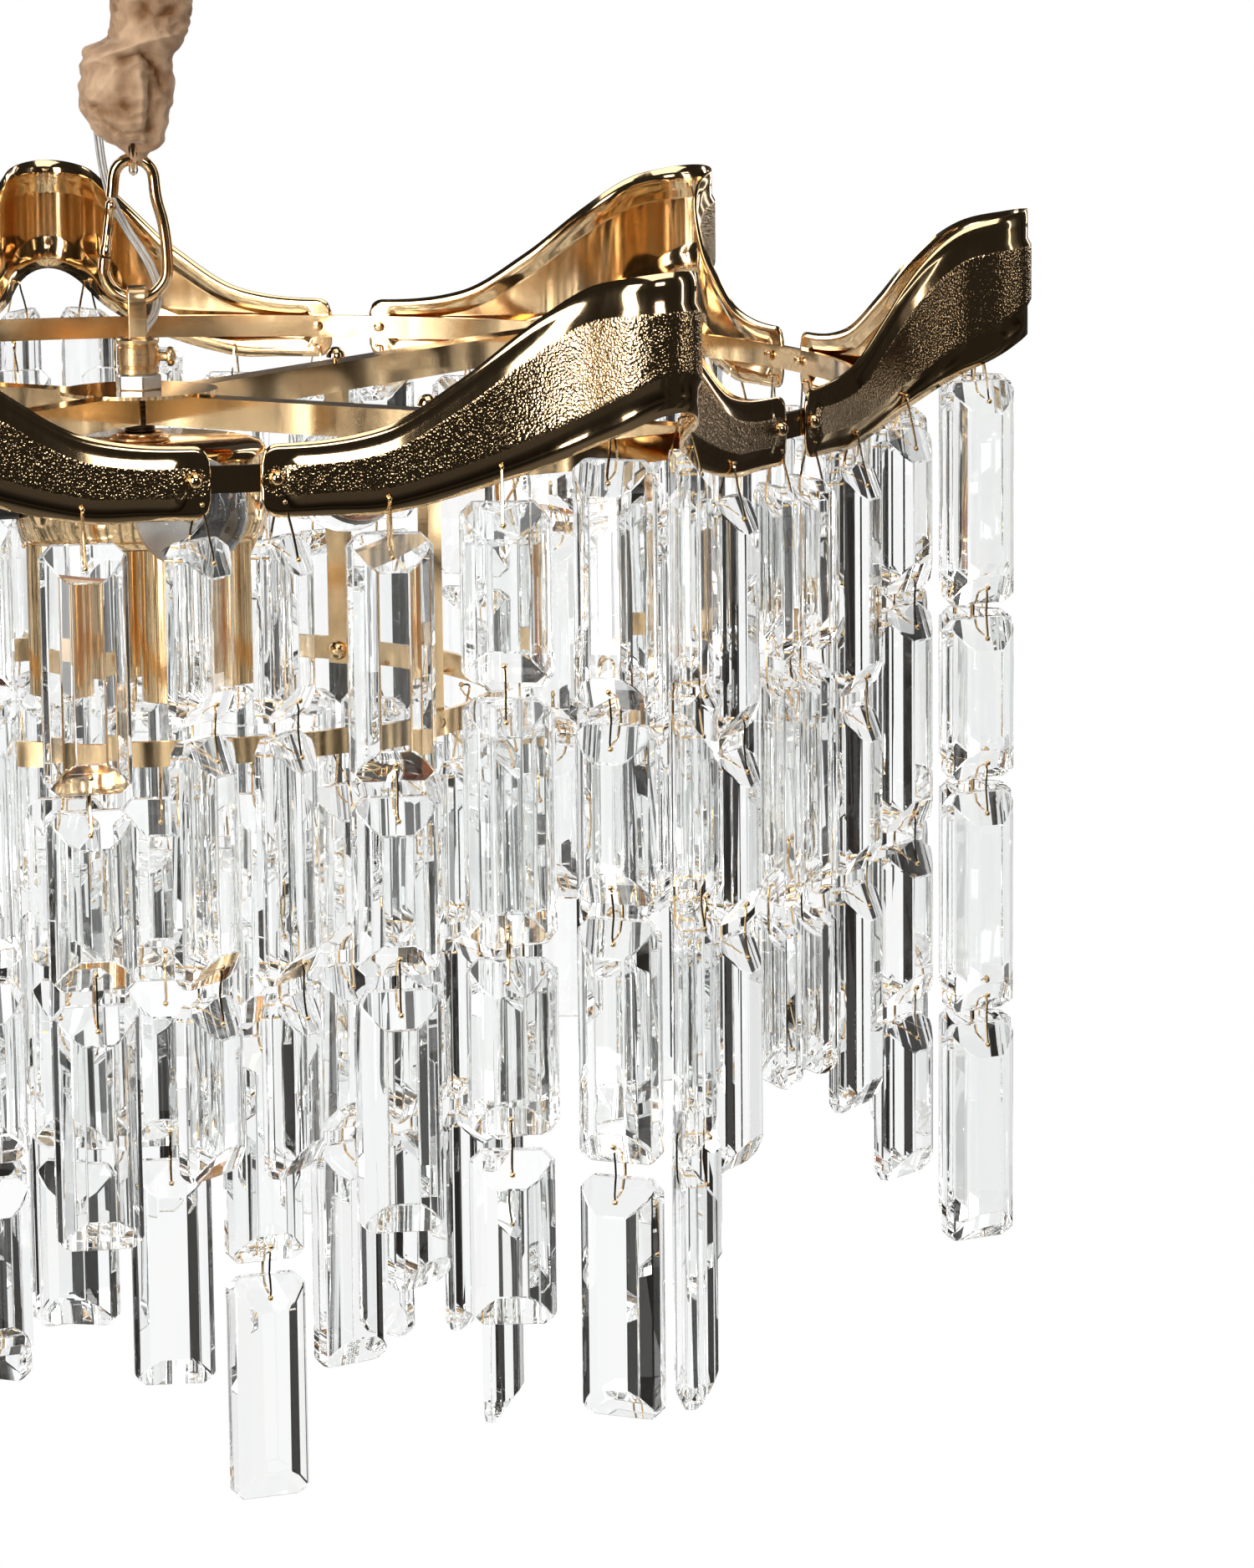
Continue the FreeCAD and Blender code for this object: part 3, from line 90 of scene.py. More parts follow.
def white_to_the_eye(tree, shade, share=None):
    """Plain white for camera and transmission rays, by a share; the given shade lights the rest."""
    path = node(tree, "ShaderNodeLightPath")
    seen = node(tree, "ShaderNodeMath", operation="MAXIMUM")
    tree.links.new(path.outputs["Is Camera Ray"], seen.inputs[0])
    tree.links.new(path.outputs["Is Transmission Ray"], seen.inputs[1])
    if share:
        part = node(tree, "ShaderNodeMath", operation="MULTIPLY")
        tree.links.new(seen.outputs[0], part.inputs[0])
        tree.links.new(share, part.inputs[1])
        seen = part
    white = node(tree, "ShaderNodeEmission", Color=(1, 1, 1, 1), Strength=1.0)
    mix = node(tree, "ShaderNodeMixShader")
    tree.links.new(seen.outputs[0], mix.inputs[0])
    tree.links.new(shade.outputs[0], mix.inputs[1])
    tree.links.new(white.outputs[0], mix.inputs[2])
    return mix


floor_level = -1.9
paper, tree = bare_material("studio_paper")
pale = node(tree, "ShaderNodeBsdfDiffuse", Color=(0.16, 0.155, 0.15, 1))
# the floor below the lamp keeps some of its own light, and with it the shadow; the white share also
# falls towards the point below the lamp, so the floor there is painted greyer, a painted shade; the rest
# is white
place = node(tree, "ShaderNodeTexCoord")
away = node(tree, "ShaderNodeVectorMath", operation="DISTANCE")
away.inputs[1].default_value = (0, 0, floor_level)
tree.links.new(place.outputs["Object"], away.inputs[0])
climb = node(tree, "ShaderNodeMapRange")
for socket, value in (("From Min", 0.5), ("From Max", 2.4), ("To Min", 0.8), ("To Max", 1.0)):
    climb.inputs[socket].default_value = value
tree.links.new(away.outputs["Value"], climb.inputs["Value"])
# the paper's back can be seen through, so that the lamp shows from every side
facing = node(tree, "ShaderNodeNewGeometry")
open_back = node(tree, "ShaderNodeMixShader")
tree.links.new(facing.outputs["Backfacing"], open_back.inputs[0])
tree.links.new(white_to_the_eye(tree, pale, climb.outputs["Result"]).outputs[0], open_back.inputs[1])
tree.links.new(node(tree, "ShaderNodeBsdfTransparent").outputs[0], open_back.inputs[2])
end = node(tree, "ShaderNodeOutputMaterial")
tree.links.new(open_back.outputs[0], end.inputs["Surface"])


def set_up(name, bm, material):
    """Turn a finished mesh into an object of the studio."""
    mesh = bpy.data.meshes.new(name)
    bm.to_mesh(mesh)
    bm.free()
    mesh.materials.append(material)
    made = bpy.data.objects.new(name, mesh)
    scene.collection.objects.link(made)
    return made


bm = bmesh.new()
sweep_half = 9.0
line = bm.edges.new([bm.verts.new((side * sweep_half, -sweep_half, floor_level)) for side in (-1, 1)])
# each step is a move back and up: the floor, the bend and the wall
for move in ((0, 10.6, 0), (0, 0.5, 0.13), (0, 0.37, 0.37), (0, 0.13, 0.5), (0, 0, 3.4)):
    grown = bmesh.ops.extrude_edge_only(bm, edges=[line])["geom"]
    line = [item for item in grown if isinstance(item, bmesh.types.BMEdge)][0]
    bmesh.ops.translate(bm, vec=move, verts=line.verts)
bmesh.ops.recalc_face_normals(bm, faces=bm.faces)
if min(bm.faces, key=lambda face: face.calc_center_median().z).normal.z < 0:
    bmesh.ops.reverse_faces(bm, faces=bm.faces)
sweep = set_up("studio_sweep", bm, paper)

card, tree = bare_material("studio_card")
black = node(tree, "ShaderNodeEmission", Color=(0.022, 0.020, 0.018, 1), Strength=1.0)
end = node(tree, "ShaderNodeOutputMaterial")
tree.links.new(black.outputs[0], end.inputs["Surface"])
card_far = 1.7
card_tall = 3.2
# azimuth in degrees, and width
for azimuth, wide in ((-172, 0.5), (-154, 0.3), (-62, 0.3), (-40, 0.9), (-8, 0.5),
                      (22, 0.4), (48, 0.3), (106, 0.65), (136, 0.35), (160, 0.4)):
    bm = bmesh.new()
    bmesh.ops.create_grid(bm, x_segments=1, y_segments=1, size=0.5)
    bmesh.ops.scale(bm, vec=(wide, card_tall, 1), verts=bm.verts)
    bmesh.ops.rotate(bm, matrix=Matrix.Rotation(math.pi / 2, 3, "X"), verts=bm.verts)
    bmesh.ops.translate(bm, vec=(0, card_far, -0.25), verts=bm.verts)
    bmesh.ops.rotate(bm, matrix=Matrix.Rotation(math.radians(azimuth - 90), 3, "Z"), verts=bm.verts)
    plane = set_up(f"card_{azimuth}".replace("-", "m"), bm, card)
    plane.visible_camera = False
    plane.visible_diffuse = False
    plane.visible_shadow = False

world = bpy.data.worlds.new("studio")
world.use_nodes = True
scene.world = world
tree = world.node_tree
tree.nodes.clear()
soft = node(tree, "ShaderNodeBackground", Color=(1.0, 0.93, 0.86, 1), Strength=0.022)
end = node(tree, "ShaderNodeOutputWorld")
tree.links.new(white_to_the_eye(tree, soft).outputs[0], end.inputs["Surface"])

lamp_middle = Vector((0, 0, -0.25))
# soft boxes: azimuth in degrees, height, distance, width, length and watts
for name, azimuth, height, far, wide, tall, power in (
        ("light_left", -131, 0.35, 2.3, 0.95, 2.0, 46),
        ("light_front", -79, 0.85, 2.4, 0.8, 0.6, 10),
        ("light_top", -70, 2.1, 0.7, 2.0, 2.0, 26),
        ("light_right", -14, 0.5, 2.3, 0.4, 1.8, 12),
        ("light_back_right", 50, 0.5, 2.2, 0.7, 1.6, 16),
        ("light_back_left", 128, 0.5, 2.2, 0.7, 1.6, 16)):
    lamp = bpy.data.lights.new(name, "AREA")
    lamp.shape = "RECTANGLE"
    lamp.size = wide
    lamp.size_y = tall
    lamp.energy = power
    lit = bpy.data.objects.new(name, lamp)
    turned = math.radians(azimuth)
    lit.location = (far * math.cos(turned), far * math.sin(turned), height)
    lit.rotation_euler = (lamp_middle - lit.location).to_track_quat("-Z", "Y").to_euler()
    scene.collection.objects.link(lit)


# ---------------------------------------------------------------- flex
# Clear flex with two tinned cores.  It leaves the sleeve's lower end, passes behind the carabiner and
# goes down into the mouth of the stem's collar.
def shader(tree, **values):
    """Principled shader and the material's output, joined."""
    made = node(tree, "ShaderNodeBsdfPrincipled", **values)
    out = node(tree, "ShaderNodeOutputMaterial")
    tree.links.new(made.outputs["BSDF"], out.inputs["Surface"])
    return made


def clouds(tree, scale, detail=2.0, coarse=0.5, stretch=(1, 1, 1)):
    """Noise in the piece's own space."""
    space = node(tree, "ShaderNodeTexCoord")
    size = node(tree, "ShaderNodeMapping", Scale=stretch)
    noise = node(tree, "ShaderNodeTexNoise", Scale=scale, Detail=detail, Roughness=coarse)
    tree.links.new(space.outputs["Object"], size.inputs["Vector"])
    tree.links.new(size.outputs["Vector"], noise.inputs["Vector"])
    return noise


def between(tree, source, low, high):
    """A 0-1 value spread between two others."""
    spread = node(tree, "ShaderNodeMapRange")
    spread.inputs["To Min"].default_value = low
    spread.inputs["To Max"].default_value = high
    tree.links.new(source, spread.inputs["Value"])
    return spread.outputs["Result"]


def blended(tree, source, one, two):
    """Two colours mixed by a 0-1 value."""
    mix = node(tree, "ShaderNodeMix", data_type="RGBA")
    sides = [socket for socket in mix.inputs if socket.type == "RGBA"]
    for socket, colour in zip(sides, (one, two)):
        socket.default_value = colour
    tree.links.new(source, mix.inputs["Factor"])
    return [socket for socket in mix.outputs if socket.type == "RGBA"][0]


def patterned(name, one, two, rough=None, scale=300.0, detail=2.0, stretch=(1, 1, 1), **values):
    """A material whose colour, and roughness where a range is given, follow a noise."""
    made, tree = bare_material(name)
    noise = clouds(tree, scale, detail, stretch=stretch)
    surface = shader(tree, **values)
    tree.links.new(blended(tree, noise.outputs["Fac"], one, two), surface.inputs["Base Color"])
    if rough:
        tree.links.new(between(tree, noise.outputs["Fac"], *rough), surface.inputs["Roughness"])
    return made


sheath = patterned("clear_sheath", (0.86, 0.86, 0.84, 1), (0.95, 0.95, 0.94, 1),
                   Roughness=0.12, IOR=1.45, Transmission_Weight=0.9)
tinned = patterned("tinned_core", (0.42, 0.41, 0.40, 1), (0.80, 0.79, 0.77, 1), (0.22, 0.45),
                   scale=900.0, stretch=(1, 1, 0.3), Metallic=1.0)

# in millimetres above the hoop; the first point lies inside the sleeve, and the last two lean
# inwards, so that the collar clears them as it swings
flex_route = ((-11.4, 4.8, 87.4), (-10.9, 5.2, 80.6), (-9.6, 5.8, 72.0), (-7.2, 6.0, 63.0),
              (-3.0, 6.0, 55.0), (1.5, 5.4, 48.0), (5.0, 5.0, 42.0), (7.2, 5.2, 35.5),
              (6.9, 4.4, 29.0), (5.0, 1.6, 24.6), (1.5, 0.0, 21.0), (0.9, 0.0, 17.2))


def flex(name, thick, aside, material):
    """One strand of the flex: a round line along the route, moved aside from its middle."""
    line = bpy.data.curves.new(name, "CURVE")
    line.dimensions = "3D"
    spline = line.splines.new("NURBS")
    spline.points.add(len(flex_route) - 1)
    for point, (x, y, z) in zip(spline.points, flex_route):
        point.co = (x / 1000 + aside, y / 1000, hoop_level + z / 1000, 1)
    spline.order_u = 3
    spline.use_endpoint_u = True
    spline.resolution_u = 10
    line.bevel_depth = thick
    line.bevel_resolution = 4
    line.use_fill_caps = True
    line.materials.append(material)
    made = bpy.data.objects.new(name, line)
    scene.collection.objects.link(made)
    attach(made, "carabiner")
    return made


flex_sheath = flex("flex_sheath", 0.00145, 0.0, sheath)
flex_cores = [flex("flex_core_left", 0.00048, -0.0007, tinned),
              flex("flex_core_right", 0.00048, 0.0007, tinned)]
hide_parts("power_cord")

# ---------------------------------------------------------------- ceiling cup, crossbar, hook, chain
# A spun gold cup hides a steel crossbar; two studs with cap nuts hold it.  A hook with a closed eye
# goes through the cup and carries three oval links of a brass-plated chain.
gold_tones = bpy.data.node_groups.new("gold_tones", "ShaderNodeTree")
gold_tones.interface.new_socket("Colour", in_out="OUTPUT", socket_type="NodeSocketColor")
gold_tones.interface.new_socket("Roughness", in_out="OUTPUT", socket_type="NodeSocketFloat")
gold_tones.interface.new_socket("Normal", in_out="OUTPUT", socket_type="NodeSocketVector")
out = node(gold_tones, "NodeGroupOutput")
broad = clouds(gold_tones, 14.0, 3.0)
fine = clouds(gold_tones, 420.0, 3.0, stretch=(1, 1, 0.25))
tone = blended(gold_tones, broad.outputs["Fac"], (0.76, 0.52, 0.27, 1), (0.84, 0.61, 0.35, 1))
gold_tones.links.new(tone, out.inputs["Colour"])
gold_tones.links.new(between(gold_tones, fine.outputs["Fac"], 0.05, 0.16), out.inputs["Roughness"])
ripple = node(gold_tones, "ShaderNodeBump", Strength=0.06, Distance=0.0006)
gold_tones.links.new(broad.outputs["Fac"], ripple.inputs["Height"])
gold_tones.links.new(ripple.outputs["Normal"], out.inputs["Normal"])


def from_group(tree, group, surface, pairs):
    """Feed a shared effect into a shader's sockets."""
    used = node(tree, "ShaderNodeGroup")
    used.node_tree = group
    for source, socket in pairs:
        tree.links.new(used.outputs[source], surface.inputs[socket])
    return used


gold, tree = bare_material("polished_gold")
from_group(tree, gold_tones, shader(tree, Metallic=1.0),
           (("Colour", "Base Color"), ("Roughness", "Roughness"), ("Normal", "Normal")))

brushed = patterned("brushed_steel", (0.42, 0.41, 0.39, 1), (0.66, 0.65, 0.63, 1), (0.25, 0.42),
                    scale=260.0, detail=4.0, stretch=(0.08, 1, 1), Metallic=1.0)


def soft_edges(piece, width, segments, angle):
    """Round the edges that are sharper than an angle in degrees."""
    edge = piece.modifiers.new("edge", "BEVEL")
    edge.width = width
    edge.segments = segments
    edge.limit_method = "ANGLE"
    edge.angle_limit = math.radians(angle)
    return edge


def finish(name, material, width=0.0003):
    """Give a machined piece its material and a small worn edge."""
    piece = cad[name]
    piece.data.materials.clear()
    piece.data.materials.append(material)
    soft_edges(piece, width, 2, 40).harden_normals = True


def spun(name, profile, steps, material, body, spots=(Matrix(),), smooth=40):
    """A piece spun round its own axis from a profile of (radius, height), once for each spot."""
    bm = bmesh.new()
    for spot in spots:
        line = [bm.verts.new((radius, 0, height)) for radius, height in profile]
        edges = [bm.edges.new(pair) for pair in zip(line, line[1:])]
        bmesh.ops.spin(bm, geom=line + edges, axis=(0, 0, 1), cent=(0, 0, 0), angle=math.tau,
                       steps=steps, use_merge=True)
        fresh = [v for v in bm.verts if not v.tag]
        bmesh.ops.transform(bm, matrix=spot, verts=fresh)
        for v in fresh:
            v.tag = True
    bmesh.ops.remove_doubles(bm, verts=bm.verts, dist=0.00001)
    bmesh.ops.recalc_face_normals(bm, faces=bm.faces)
    return settled(name, bm, [material], body, smooth)


def settled(name, bm, materials, body, smooth=40):
    """Turn a finished mesh into a piece that rides on its body."""
    mesh = bpy.data.meshes.new(name)
    bm.to_mesh(mesh)
    bm.free()
    for material in materials:
        mesh.materials.append(material)
    mesh.shade_smooth()
    mesh.set_sharp_from_angle(angle=math.radians(smooth))
    piece = bpy.data.objects.new(name, mesh)
    scene.collection.objects.link(piece)
    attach(piece, body)
    return piece


finish("ceiling_bracket", brushed)
finish("canopy_screws", gold)
cup = spun("ceiling_cup", ((0.0588, -0.0004), (0.0599, -0.0004), (0.0600, -0.0010), (0.0600, -0.0205),
                           (0.0594, -0.0236), (0.0572, -0.0262), (0.0538, -0.0277), (0.0500, -0.0280),
                           (0.0034, -0.0280), (0.0032, -0.0278), (0.0032, -0.0270), (0.0500, -0.0268),
                           (0.0535, -0.0265), (0.0564, -0.0251), (0.0583, -0.0230), (0.0588, -0.0205),
                           (0.0588, -0.0004)), 96, gold, "ceiling")
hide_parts("canopy")


def bent_rod(name, lines, thick, material, body, rounds=6, sides=3):
    """Round wire along given points, smooth between them."""
    curve = bpy.data.curves.new(name, "CURVE")
    curve.dimensions = "3D"
    for points in lines:
        spline = curve.splines.new("NURBS")
        spline.points.add(len(points) - 1)
        for point, place in zip(spline.points, points):
            point.co = (*place, 1)
        spline.order_u = 3
        spline.use_endpoint_u = True
        spline.resolution_u = rounds
    curve.bevel_depth = thick
    curve.bevel_resolution = sides
    curve.use_fill_caps = True
    drawn = bpy.data.objects.new(name + "_line", curve)
    mesh = bpy.data.meshes.new_from_object(drawn)
    bm = bmesh.new()
    bm.from_mesh(mesh)
    bpy.data.objects.remove(drawn)
    bpy.data.curves.remove(curve)
    bpy.data.meshes.remove(mesh)
    return settled(name, bm, [material], body, 50)


finish("ceiling_hook", gold)
finish("chain_links", gold, 0.0005)
for name in ("ceiling_hook", "chain_links"):
    round_off = cad[name].modifiers.new("round", "SUBSURF")
    round_off.levels = 1
    round_off.render_levels = 1

# ---------------------------------------------------------------- velvet sleeve
# A tube of cut-pile velvet, gathered over the chain so that it bulges twice and folds slantwise.
velvet, tree = bare_material("beige_velvet")
pile = clouds(tree, 2200.0, 3.0, 0.7, stretch=(1, 1, 0.35))
wear = clouds(tree, 110.0, 4.0, 0.6, stretch=(1, 1, 0.6))
# the lift attribute paints the folds: ridges lighter as a painted highlight, valleys darker as painted
# shade
fold_shade = node(tree, "ShaderNodeAttribute", attribute_name="lift")
cloth = shader(tree, Roughness=0.9)
cloth.inputs["Sheen Weight"].default_value = 1.0
cloth.inputs["Sheen Roughness"].default_value = 0.28
cloth.inputs["Sheen Tint"].default_value = (1.0, 0.87, 0.74, 1)
# random mottle of the pile plus the painted fold shade and highlight; the dark colour is painted shade
# deep in the folds
wear_and_fold_shade = node(tree, "ShaderNodeMath", operation="MULTIPLY_ADD")
tree.links.new(wear.outputs["Fac"], wear_and_fold_shade.inputs[0])
wear_and_fold_shade.inputs[1].default_value = 1.1
tree.links.new(fold_shade.outputs["Fac"], wear_and_fold_shade.inputs[2])
crush_and_fold_shade = node(tree, "ShaderNodeMapRange")
crush_and_fold_shade.inputs["From Min"].default_value = 0.55
crush_and_fold_shade.inputs["From Max"].default_value = 1.45
tree.links.new(wear_and_fold_shade.outputs[0], crush_and_fold_shade.inputs["Value"])
tree.links.new(blended(tree, crush_and_fold_shade.outputs["Result"], (0.24, 0.105, 0.035, 1), (0.84, 0.57, 0.36, 1)),
               cloth.inputs["Base Color"])
nap = node(tree, "ShaderNodeBump", Strength=0.6, Distance=0.0005)
tree.links.new(pile.outputs["Fac"], nap.inputs["Height"])
tree.links.new(nap.outputs["Normal"], cloth.inputs["Normal"])

# height above the hoop, middle across, half width, half depth, in millimetres
sleeve_rings = ((76.0, 1.2, 2.6, 2.5), (79.5, 1.4, 3.6, 3.4), (82.4, 2.4, 6.6, 5.6),
                (84.2, 0.6, 9.4, 8.2), (87.0, -0.6, 11.2, 9.6), (90.6, -1.4, 12.8, 11.0),
                (94.5, -2.0, 14.2, 12.2), (100.0, -1.6, 14.8, 12.6), (106.5, -1.6, 14.4, 12.4),
                (111.0, -1.5, 14.3, 12.4), (114.4, 0.8, 15.2, 12.6), (117.4, 4.6, 12.6, 11.6),
                (120.0, 6.0, 12.0, 11.2), (124.0, 6.8, 12.4, 11.4), (128.0, 7.2, 13.0, 11.6),
                (134.0, 5.6, 12.4, 11.4), (140.0, 3.2, 12.0, 11.2), (148.0, 0.8, 11.4, 10.8),
                (155.5, 0.0, 10.8, 10.4))
# folds: width and rise (a valley is negative), then points across and up, seen from the front
front_folds = ((1.6, 1.5, ((-16.0, 108.6), (-6.5, 112.8), (3.0, 116.2), (15.0, 118.8))),
               (1.5, -2.3, ((-4.0, 111.2), (3.5, 112.9), (9.0, 107.5), (10.5, 102.0))),
               (1.3, 1.4, ((-4.8, 108.6), (-9.5, 101.5), (-15.5, 94.4))),
               (1.7, 1.5, ((2.6, 106.5), (3.3, 98.4), (2.8, 88.5))),
               (1.8, -2.0, ((6.2, 104.6), (6.0, 96.5), (5.2, 88.0))),
               (1.5, -1.3, ((-14.5, 95.6), (-7.0, 96.2), (1.2, 95.4))),
               (1.2, -0.9, ((-10.0, 91.0), (-3.0, 86.5), (6.0, 87.5))),
               (1.1, 0.8, ((-3.0, 127.7), (-3.6, 122.5), (-2.4, 118.4))),
               (1.7, -1.8, ((4.0, 128.5), (8.5, 124.4), (14.5, 125.8))),
               (1.3, 0.9, ((-9.0, 134.0), (0.0, 130.0), (9.0, 132.4))),
               (1.6, -1.4, ((-8.0, 141.0), (1.0, 137.5), (10.0, 141.5))),
               (1.4, 1.0, ((-7.0, 149.0), (2.0, 145.5), (9.0, 148.0))))
back_folds = ((1.7, -2.2, ((14.0, 113.0), (4.0, 109.0), (-8.0, 113.5), (-16.0, 111.0))),
              (1.5, 1.4, ((12.0, 108.5), (2.0, 103.5), (-10.0, 101.0))),
              (1.6, -1.6, ((8.0, 100.0), (2.0, 92.0), (-3.0, 86.0))),
              (1.5, 1.3, ((-8.0, 98.0), (-6.0, 91.0), (-4.0, 85.0))),
              (1.5, -1.5, ((15.0, 126.0), (6.0, 121.5), (-4.0, 125.0))),
              (1.4, 1.1, ((12.0, 137.0), (2.0, 132.0), (-7.0, 135.5))),
              (1.5, -1.3, ((9.0, 146.0), (1.0, 142.0), (-8.0, 145.0))))


def fold_height(across, up, folds):
    """How far the folds push the cloth out at a point seen from one side."""
    rise = 0.0
    here = Vector((across, up))
    for wide, lift, points in folds:
        gap = 99.0
        for a, b in zip(points, points[1:]):
            a, b = Vector(a), Vector(b)
            share = max(0.0, min(1.0, (here - a).dot(b - a) / (b - a).length_squared))
            gap = min(gap, (here - a.lerp(b, share)).length)
        rise += lift * math.exp(-gap / wide)
    return rise


def smooth_row(rows, at):
    """Smooth reading of given rows: at runs from 0 to 1 over them all."""
    place = at * (len(rows) - 1)
    k = min(int(place), len(rows) - 2)
    part = place - k
    before, one, two, after = (rows[max(0, min(len(rows) - 1, k + step))] for step in (-1, 0, 1, 2))
    out = []
    for a, b, c, d in zip(before, one, two, after):
        out.append(0.5 * (2 * b + (c - a) * part + (2 * a - 5 * b + 4 * c - d) * part ** 2
                          + (3 * b - a - 3 * c + d) * part ** 3))
    return out


bm = bmesh.new()
bmesh.ops.create_grid(bm, x_segments=120, y_segments=150, size=0.5)
lift = bm.verts.layers.float.new("lift")
for v in bm.verts:
    up = v.co.y + 0.5
    turn = (v.co.x + 0.5) * math.tau
    height, across, wide, deep = smooth_row(sleeve_rings, up)
    # a squarish round, flatter towards the front
    square = 1.0 + 0.05 * math.cos(4 * turn + 0.6)
    x = across + wide * square * math.cos(turn)
    y = deep * square * math.sin(turn)
    front = max(0.0, min(1.0, 0.5 - 0.8 * math.sin(turn)))
    push = front * fold_height(x, height, front_folds) + (1 - front) * fold_height(x, height, back_folds)
    # small dents and creases between the folds, fading towards the narrow lower end
    dents = noise_at(Vector((x * 0.16, y * 0.16, height * 0.19)))
    creases = 1.0 - 2.6 * abs(noise_at(Vector((x * 0.22 + 7, y * 0.22, height * 0.24))))
    push += (dents + 0.5625 * creases) * min(1.0, up / 0.16)
    push *= min(1.0, wide / 9.0)
    # kept for the colour: the ridges get a painted highlight and the valleys painted shade
    v[lift] = max(0.0, min(1.0, 0.42 + 0.30 * push))
    hem = 1.1 * math.sin(3 * turn + 0.6) * math.exp(-((height - 82.0) / 1.8) ** 2)
    v.co = Vector((x + push * math.cos(turn), y + push * math.sin(turn), height + hem)) / 1000
    v.co.z += hoop_level
bmesh.ops.remove_doubles(bm, verts=bm.verts, dist=0.00002)
bmesh.ops.recalc_face_normals(bm, faces=bm.faces)
sleeve = settled("velvet_sleeve_cloth", bm, [velvet], "ceiling", 180)
thick = sleeve.modifiers.new("cloth", "SOLIDIFY")
thick.thickness = 0.0011
thick.offset = -1.0
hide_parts("velvet_sleeve")

# ---------------------------------------------------------------- carabiner
# Pear-shaped snap hook of gold-plated 4 mm rod; its gate turns on a small rivet and closes on the
# nose, and its foot carries the bail of the stem.
snap_foot = hoop_level + 0.0422
snap_top = snap_foot + 0.0291


def snap_left(height):
    """Centre line of the hook's straight left side, above the wide end's centre."""
    return -(0.0105 - 0.0040 * height / 0.0291)


body_line = [(snap_left(0.0030), 0, snap_foot + 0.0030), (snap_left(0.0012), 0, snap_foot + 0.0012)]
for angle in range(188, 361, 16):
    turned = math.radians(angle)
    body_line.append((0.0107 * math.cos(turned), 0, snap_foot + 0.0107 * math.sin(turned)))
body_line += [(0.0104, 0, snap_foot + 0.006), (0.0094, 0, snap_foot + 0.0150),
              (0.0076, 0, snap_foot + 0.0210), (0.0069, 0, snap_foot + 0.0250)]
for angle in range(4, 181, 22):
    turned = math.radians(angle)
    body_line.append((0.0067 * math.cos(turned), 0, snap_top + 0.0067 * math.sin(turned)))
body_line += [(snap_left(0.0262), 0, snap_foot + 0.0262), (snap_left(0.0232), 0, snap_foot + 0.0232)]
snap = bent_rod("snap_hook", [body_line], 0.0020, gold, "carabiner", rounds=4, sides=5)
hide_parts("carabiner_body")
tongue_spot = (Matrix.Translation((snap_left(0.0205), 0, snap_foot + 0.0205))
               @ Matrix.Rotation(math.pi / 2, 4, "X"))
spun("snap_tongue", ((0.0, -0.0016), (0.0012, -0.0014), (0.0017, -0.0006), (0.0017, 0.0006),
                     (0.0012, 0.0014), (0.0, 0.0016)), 20, gold, "carabiner",
     [tongue_spot])
gate_lean = math.radians(7.8)
gate_spot = (Matrix.Translation((snap_left(0.0038), 0, snap_foot + 0.0038))
             @ Matrix.Rotation(gate_lean, 4, "Y"))
gate = spun("snap_gate", ((0.0, 0.0), (0.0014, 0.0001), (0.0019, 0.0006), (0.0019, 0.0030),
                          (0.0016, 0.0034), (0.0016, 0.0150), (0.0018, 0.0156), (0.0018, 0.0176),
                          (0.0010, 0.0186), (0.0, 0.0188)), 24, gold, "gate",
            [gate_spot])
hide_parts("carabiner_gate")

# ---------------------------------------------------------------- stem
# A turned brass collar with a bail, locked by a thumb screw on a dark threaded pipe.  A steel lamp
# nut clamps the hub below it, and a stepped washer sits on the lamp tray.
brass, tree = bare_material("turned_brass")
turned_face = shader(tree, Metallic=1.0)
from_group(tree, gold_tones, turned_face, (("Colour", "Base Color"), ("Normal", "Normal")))
lathe = clouds(tree, 700.0, 3.0, stretch=(0.03, 0.03, 1))
tree.links.new(between(tree, lathe.outputs["Fac"], 0.12, 0.38), turned_face.inputs["Roughness"])

dark = patterned("dark_thread", (0.05, 0.045, 0.04, 1), (0.16, 0.14, 0.12, 1), (0.25, 0.45),
                 scale=500.0, detail=3.0, Metallic=1.0)
tree = dark.node_tree
space = node(tree, "ShaderNodeTexCoord")
pitch = node(tree, "ShaderNodeTexWave", bands_direction="Z", Scale=320.0)
tree.links.new(space.outputs["Object"], pitch.inputs["Vector"])
thread = node(tree, "ShaderNodeBump", Strength=0.9, Distance=0.0004)
tree.links.new(pitch.outputs["Fac"], thread.inputs["Height"])
oiled = [item for item in tree.nodes if item.type == "BSDF_PRINCIPLED"][0]
tree.links.new(thread.outputs["Normal"], oiled.inputs["Normal"])
finish("stem_pipe", dark, 0.0002)

nut_top = hoop_level + 0.0067
collar_top = nut_top + 0.0123


def lifted(profile, level):
    """A profile of (radius, height), moved up by a level."""
    return tuple((radius, level + height) for radius, height in profile)


